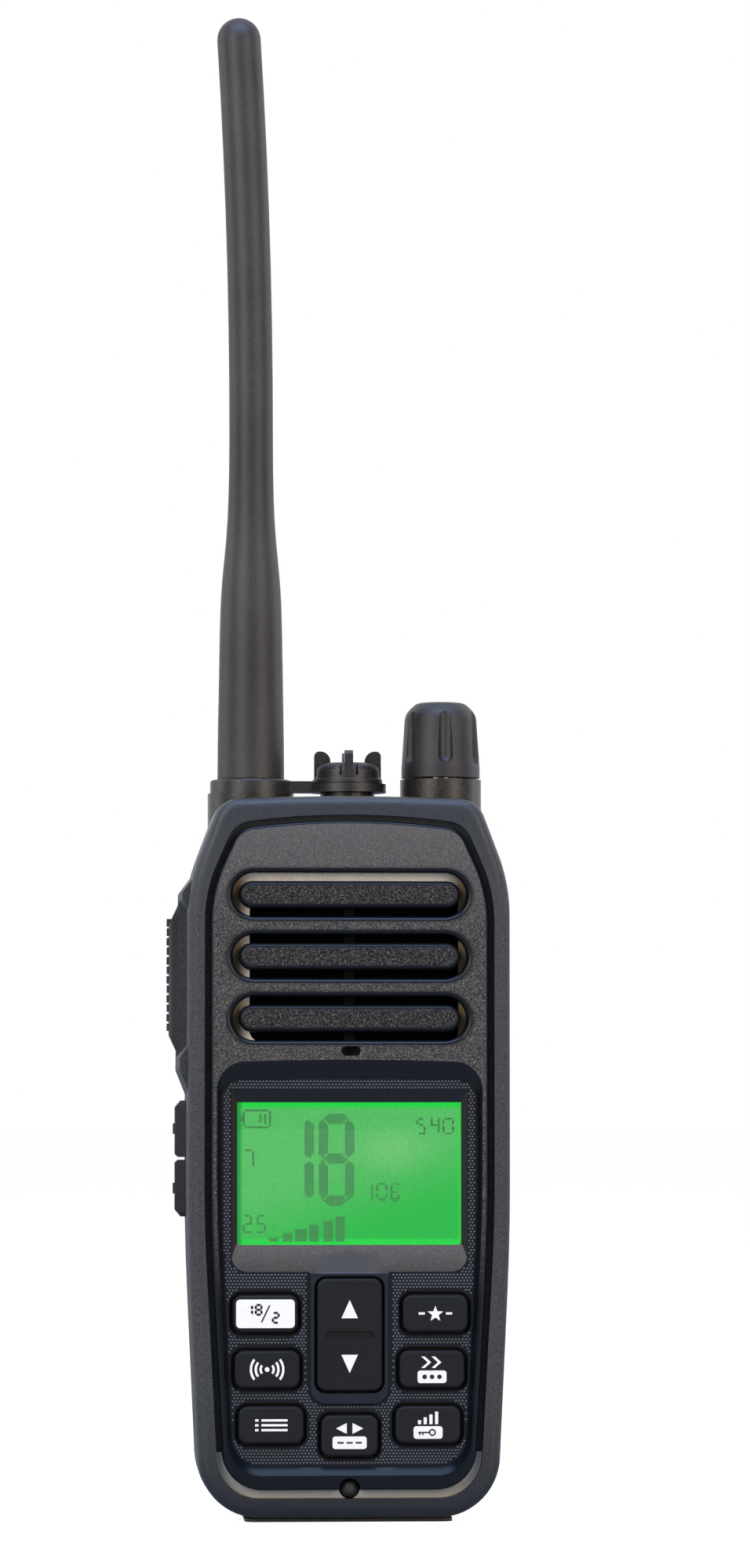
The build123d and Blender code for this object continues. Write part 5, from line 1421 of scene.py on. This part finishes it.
@dataclass
class Display(SubAssembly):
    """The lens and the lit liquid crystal with its symbols.

    Sizes of dots are in metres; digits, bars and the battery are in millimetres about the film's centre.
    channel holds each large digit with its centre across and its width. A small digit's size is its width,
    its height and the thickness of a segment, and numbers holds the small numbers with their centres.
    """

    filler: FaceFiller
    dot_across: float = 0.42 * MM
    dot_up: float = 0.37 * MM
    dot_gap: float = 0.05 * MM
    dot_depth: float = 0.03 * MM
    digit_height: float = 16.2
    digit_thick: float = 1.75
    channel: tuple[tuple[str, float, float], ...] = (("1", -8.0, 3.6), ("8", -2.35, 6.4))
    channel_height: float = 2.5
    small_digit: Triple = (1.75, 3.2, 0.42)
    small_step: float = 2.35
    numbers: tuple[tuple[str, float, float], ...] = (
        ("7", -17.6, 2.75), ("25", -16.7, -8.9), ("106", 5.8, -3.2), ("540", 15.2, 8.4))
    bars: tuple[float, ...] = (0.66, 1.36, 2.06, 2.72, 3.46, 4.2)
    bar_step: float = 2.33
    bar_width: float = 1.7
    first_bar: Point = (-13.16, -11.9)
    battery_at: Point = (-16.3, 9.65)
    battery_size: Point = (4.4, 2.8)
    battery_line: float = 0.3

    def symbols(self) -> Artwork:
        """Draws the display's symbols: a battery, bars, the channel number and small numbers.

        Returns:
            The drawing, about the window's centre.
        """
        low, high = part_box("lcd_panel")
        art = Artwork(((low.x + high.x) / 2, (low.z + high.z) / 2))
        for digit, x, width in self.channel:
            art.segments(digit, x, self.channel_height, width, self.digit_height, self.digit_thick)
        x, z = self.first_bar
        for step, rise in enumerate(self.bars):
            art.bar(x + self.bar_step * step, z + rise / 2, self.bar_width, rise)
        # the battery's outline, then its pole and the two bars in it
        (x, z), (w, h) = self.battery_at, self.battery_size
        for side in (1, -1):
            art.bar(x, z + side * h / 2, w, self.battery_line).bar(x + side * w / 2, z, self.battery_line, h)
        art.bar(x - w / 2 - 0.35, z, 0.4, 1.2).bar(x + 0.55, z, 0.6, 1.5).bar(x + 1.4, z, 0.6, 1.5)
        for text, x, z in self.numbers:
            for place, digit in enumerate(text):
                art.segments(digit, x + self.small_step * (place - (len(text) - 1) / 2), z, *self.small_digit)
        return art

    def make(self) -> None:
        """Breaks the symbols into the crystal's dots and seats them on the film."""
        low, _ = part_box("lcd_panel")
        flat = self.symbols().build("symbols", low.y, self.dot_depth)
        template = tile_template(self.dot_across - self.dot_gap, self.dot_up - self.dot_gap, self.dot_depth)
        piece = self.filler.run(
            "display_dots", Target=flat, Template=template, Pitch_Across=self.dot_across,
            Pitch_Up=self.dot_up, Stagger=0.0, Margin=0.0, Face_Depth=low.y - self.dot_depth,
            Material=self.finishes.segment)
        bpy.data.objects.remove(template)
        bpy.data.objects.remove(flat)
        finish_piece(piece, self.finishes.segment, "root")

    def coats(self) -> dict[str, Material]:
        """Lists the finish of each node."""
        f = self.finishes
        return {"display_lens": f.pane, "lcd_panel": f.crystal, "lcd_backlight": f.guide}


@dataclass
class TopFittings(SubAssembly):
    """The antenna, the jack with its cap and tether, and the volume knob."""

    def coats(self) -> dict[str, Material]:
        """Lists the finish of each node."""
        f = self.finishes
        return {"antenna_whip": f.whip, "antenna_connector": f.brass, "antenna_radiator": f.brass,
                "antenna_socket": f.brass, "antenna_seal": f.rubber, "cap_tether": f.cap, "jack_cap": f.cap,
                "cap_seal": f.rubber, "jack_socket": f.gold, "volume_knob": f.knob, "volume_shaft": f.spring,
                "volume_control": f.alloy}


@dataclass
class SideControls(SubAssembly):
    """The talk button and the two keys under it."""

    def coats(self) -> dict[str, Material]:
        """Lists the finish of each node."""
        f = self.finishes
        return {"talk_button": f.talk, "side_key_upper": f.talk, "side_key_lower": f.talk,
                "side_switches": f.board}


@dataclass
class Power(SubAssembly):
    """The battery pack, its latch and the belt clip on its back.

    spring_closed is not used; it stands for the part of a latch spring's length left when the latch is drawn
    down.
    """

    spring_wire: float = 0.13 * MM
    spring_turns: float = 4.5
    spring_closed: float = 0.09

    def make(self) -> None:
        """Winds the latch's two springs."""
        low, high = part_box("latch_spring")
        radius = (high.y - low.y) / 2
        first, second = (Vector((x, low.y + radius, low.z + self.spring_wire))
                         for x in (low.x + radius, high.x - radius))
        piece = SpringWinder().run(
            "latch_springs", Coil_Radius=radius - self.spring_wire, Wire_Radius=self.spring_wire,
            Turns=self.spring_turns, Height=high.z - low.z - 2 * self.spring_wire, First_Seat=first,
            Second_Seat=second, Material=self.finishes.spring)
        finish_piece(piece, self.finishes.spring, "root")
        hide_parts("latch_spring")
        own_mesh(piece)

    def coats(self) -> dict[str, Material]:
        """Lists the finish of each node."""
        f = self.finishes
        return {"battery_case": f.case, "battery_cover": f.case, "battery_cells": f.sleeve,
                "battery_board": f.board, "battery_contacts": f.gold, "battery_latch": f.rubber,
                "latch_spring": f.spring, "belt_clip": f.case, "clip_bracket": f.case, "clip_pin": f.spring,
                "clip_screws": f.zinc, "clip_spring": f.spring}


@dataclass
class Electronics(SubAssembly):
    """The main board and its shield."""

    def coats(self) -> dict[str, Material]:
        """Lists the finish of each node."""
        return {"main_board": self.finishes.board, "shield_can": self.finishes.alloy}


# ------------------------------------------------------------------------------------------- studio
@dataclass(frozen=True)
class Lamp:
    """A soft rectangular lamp: where it stands, its width and height, its power in watts and its colour."""

    name: str
    place: Triple
    size: Point
    power: float
    colour: str

    def light(self, target: Vector) -> None:
        """Adds the lamp.

        Args:
            target: what it points at.
        """
        light = bpy.data.lights.new(self.name, "AREA")
        light.shape = "RECTANGLE"
        light.size, light.size_y = self.size
        light.energy = self.power
        light.color = linear(self.colour)[:3]
        thing = bpy.data.objects.new(self.name, light)
        thing.location = self.place
        thing.rotation_euler = (target - Vector(self.place)).to_track_quat("-Z", "Y").to_euler()
        bpy.context.scene.collection.objects.link(thing)


@dataclass
class Studio:
    """A white sweep, soft lamps and the camera.

    metre_per_pixel is the width of one of picture_height pixels at the aim. azimuth and pitch are the angles
    the camera looks along, in degrees. room_light and sweep_light are how bright the surround is in front of
    the radio and behind it. floor_light is how bright the floor is to the camera, and floor_mirrored the
    share of that which reflections show.
    """

    distance: float = 1.0
    azimuth: float = -3.0
    pitch: float = 3.0
    metre_per_pixel: float = 0.1385 * MM
    picture_height: int = 2000
    aim: Vector = field(default_factory=lambda: Vector((4.43 * MM, -18.0 * MM, 129.85 * MM)))
    sensor: float = 36.0
    room_light: float = 0.035
    sweep_light: float = 0.7
    surround: str = "#e6edf7"
    table: str = "#9da0a4"
    floor_light: float = 0.9
    floor_mirrored: float = 0.1
    floor_half: float = 8.0
    middle: Vector = field(default_factory=lambda: Vector((0.0, 0.0, 0.10)))
    lamps: tuple[Lamp, ...] = (
        Lamp("overhead", (0.0, -0.28, 0.85), (0.9, 0.5), 8.2, "#b6cfff"),
        Lamp("front_left", (-0.60, -0.80, 0.42), (0.5, 0.7), 5.9, "#fff8ee"),
        Lamp("front_right", (0.62, -0.78, 0.36), (0.5, 0.7), 4.8, "#ffefdc"),
        Lamp("left_rim", (-0.75, 0.12, 0.22), (0.3, 0.9), 1.9, "#f2f7ff"),
        Lamp("right_rim", (0.75, 0.22, 0.22), (0.3, 0.9), 1.6, "#f2f7ff"))

    def camera(self) -> None:
        """Sets the camera in front of the radio, a little below its middle."""
        turn, tilt = math.radians(self.azimuth), math.radians(self.pitch)
        ahead = Vector((-math.sin(turn) * math.cos(tilt), math.cos(turn) * math.cos(tilt), math.sin(tilt)))
        right = Vector((math.cos(turn), math.sin(turn), 0.0))
        up = right.cross(ahead)
        lens = bpy.data.cameras.new("camera")
        lens.sensor_fit = "VERTICAL"
        lens.sensor_height = self.sensor
        lens.lens = self.sensor * self.distance / (self.picture_height * self.metre_per_pixel)
        lens.clip_start = 0.01
        lens.clip_end = 50.0
        camera = bpy.data.objects.new("camera", lens)
        camera.matrix_world = Matrix((
            (right.x, up.x, -ahead.x, 0.0), (right.y, up.y, -ahead.y, 0.0), (right.z, up.z, -ahead.z, 0.0),
            (0.0, 0.0, 0.0, 1.0)))
        camera.location = self.aim - ahead * self.distance
        bpy.context.scene.collection.objects.link(camera)
        bpy.context.scene.camera = camera

    def world(self) -> None:
        """Makes the surround: white behind the radio, and a dim room before it that black plastic mirrors."""
        world = bpy.data.worlds.new("surround")
        bpy.context.scene.world = world
        world.use_nodes = True
        tree = world.node_tree
        tree.nodes.clear()
        toward = put(tree, "ShaderNodeSeparateXYZ", {
            "Vector": put(tree, "ShaderNodeTexCoord").outputs["Generated"]}).outputs["Y"]
        behind = put(tree, "ShaderNodeMapRange", {
            "Value": toward, **span(-0.1, 0.3)}, interpolation_type="SMOOTHSTEP")
        level = put(tree, "ShaderNodeMapRange", {
            "Value": behind, "To Min": self.room_light, "To Max": self.sweep_light})
        soft = put(tree, "ShaderNodeBackground", {"Color": linear(self.surround), "Strength": level})
        white = put(tree, "ShaderNodeBackground", {"Color": (1, 1, 1, 1), "Strength": 1.0})
        both = put(tree, "ShaderNodeMixShader", {0: self.seen(tree, behind), 1: soft, 2: white})
        put(tree, "ShaderNodeOutputWorld", {"Surface": both})

    def seen(self, tree: Tree, mirrored: Node | float) -> Node:
        """Finds how far a ray comes from the camera, straight or by way of glass or a gloss.

        Args:
            tree: the tree.
            mirrored: how much a ray counts that was reflected or bent on its way.

        Returns:
            1 for a straight ray, mirrored for a reflected or bent one and 0 for any other.
        """
        path = put(tree, "ShaderNodeLightPath")
        bent = put(tree, "ShaderNodeMath", {
            0: path.outputs["Is Glossy Ray"], 1: path.outputs["Is Transmission Ray"]}, operation="MAXIMUM")
        share = put(tree, "ShaderNodeMath", {0: bent, 1: mirrored}, operation="MULTIPLY")
        return put(tree, "ShaderNodeMath", {0: path.outputs["Is Camera Ray"], 1: share}, operation="MAXIMUM")

    def floor(self) -> None:
        """Lays a white floor that keeps the radio's shadow."""
        shape = bmesh.new()
        bmesh.ops.create_grid(shape, x_segments=1, y_segments=1, size=self.floor_half)
        floor = object_from(shape, "floor")
        material = bpy.data.materials.new("painted_white_table")
        material.use_nodes = True
        tree = material.node_tree
        tree.nodes.clear()
        matte = put(tree, "ShaderNodeBsdfDiffuse", {"Color": linear(self.table)})
        level = put(tree, "ShaderNodeMath", {
            0: self.seen(tree, self.floor_mirrored), 1: self.floor_light}, operation="MULTIPLY")
        lift = put(tree, "ShaderNodeEmission", {"Color": (1, 1, 1, 1), "Strength": level})
        both = put(tree, "ShaderNodeAddShader", {0: matte, 1: lift})
        put(tree, "ShaderNodeOutputMaterial", {"Surface": both})
        floor.data.materials.append(material)

    def build(self) -> None:
        """Builds the whole studio."""
        self.camera()
        self.world()
        self.floor()
        for lamp in self.lamps:
            lamp.light(self.middle)
        bpy.context.scene.view_settings.view_transform = "Standard"


def main() -> None:
    """Dresses the frame, adds the made pieces and sets up the studio."""
    logging.basicConfig(level=logging.INFO, format="%(name)s: %(message)s")
    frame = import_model()
    NODES.update(frame["nodes"])
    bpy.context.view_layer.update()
    finishes = Finishes()
    filler = FaceFiller()
    power, keypad, display = Power(finishes), Keypad(finishes, filler), Display(finishes, filler)
    for group in (Case(finishes), FrontPanel(finishes), keypad, display, TopFittings(finishes),
                  SideControls(finishes), power, Electronics(finishes)):
        group.dress()
        LOG.info("dressed %s", type(group).__name__)
    for group in (power, keypad, display):
        group.make()
    Studio().build()


if __name__ == "__main__":
    main()
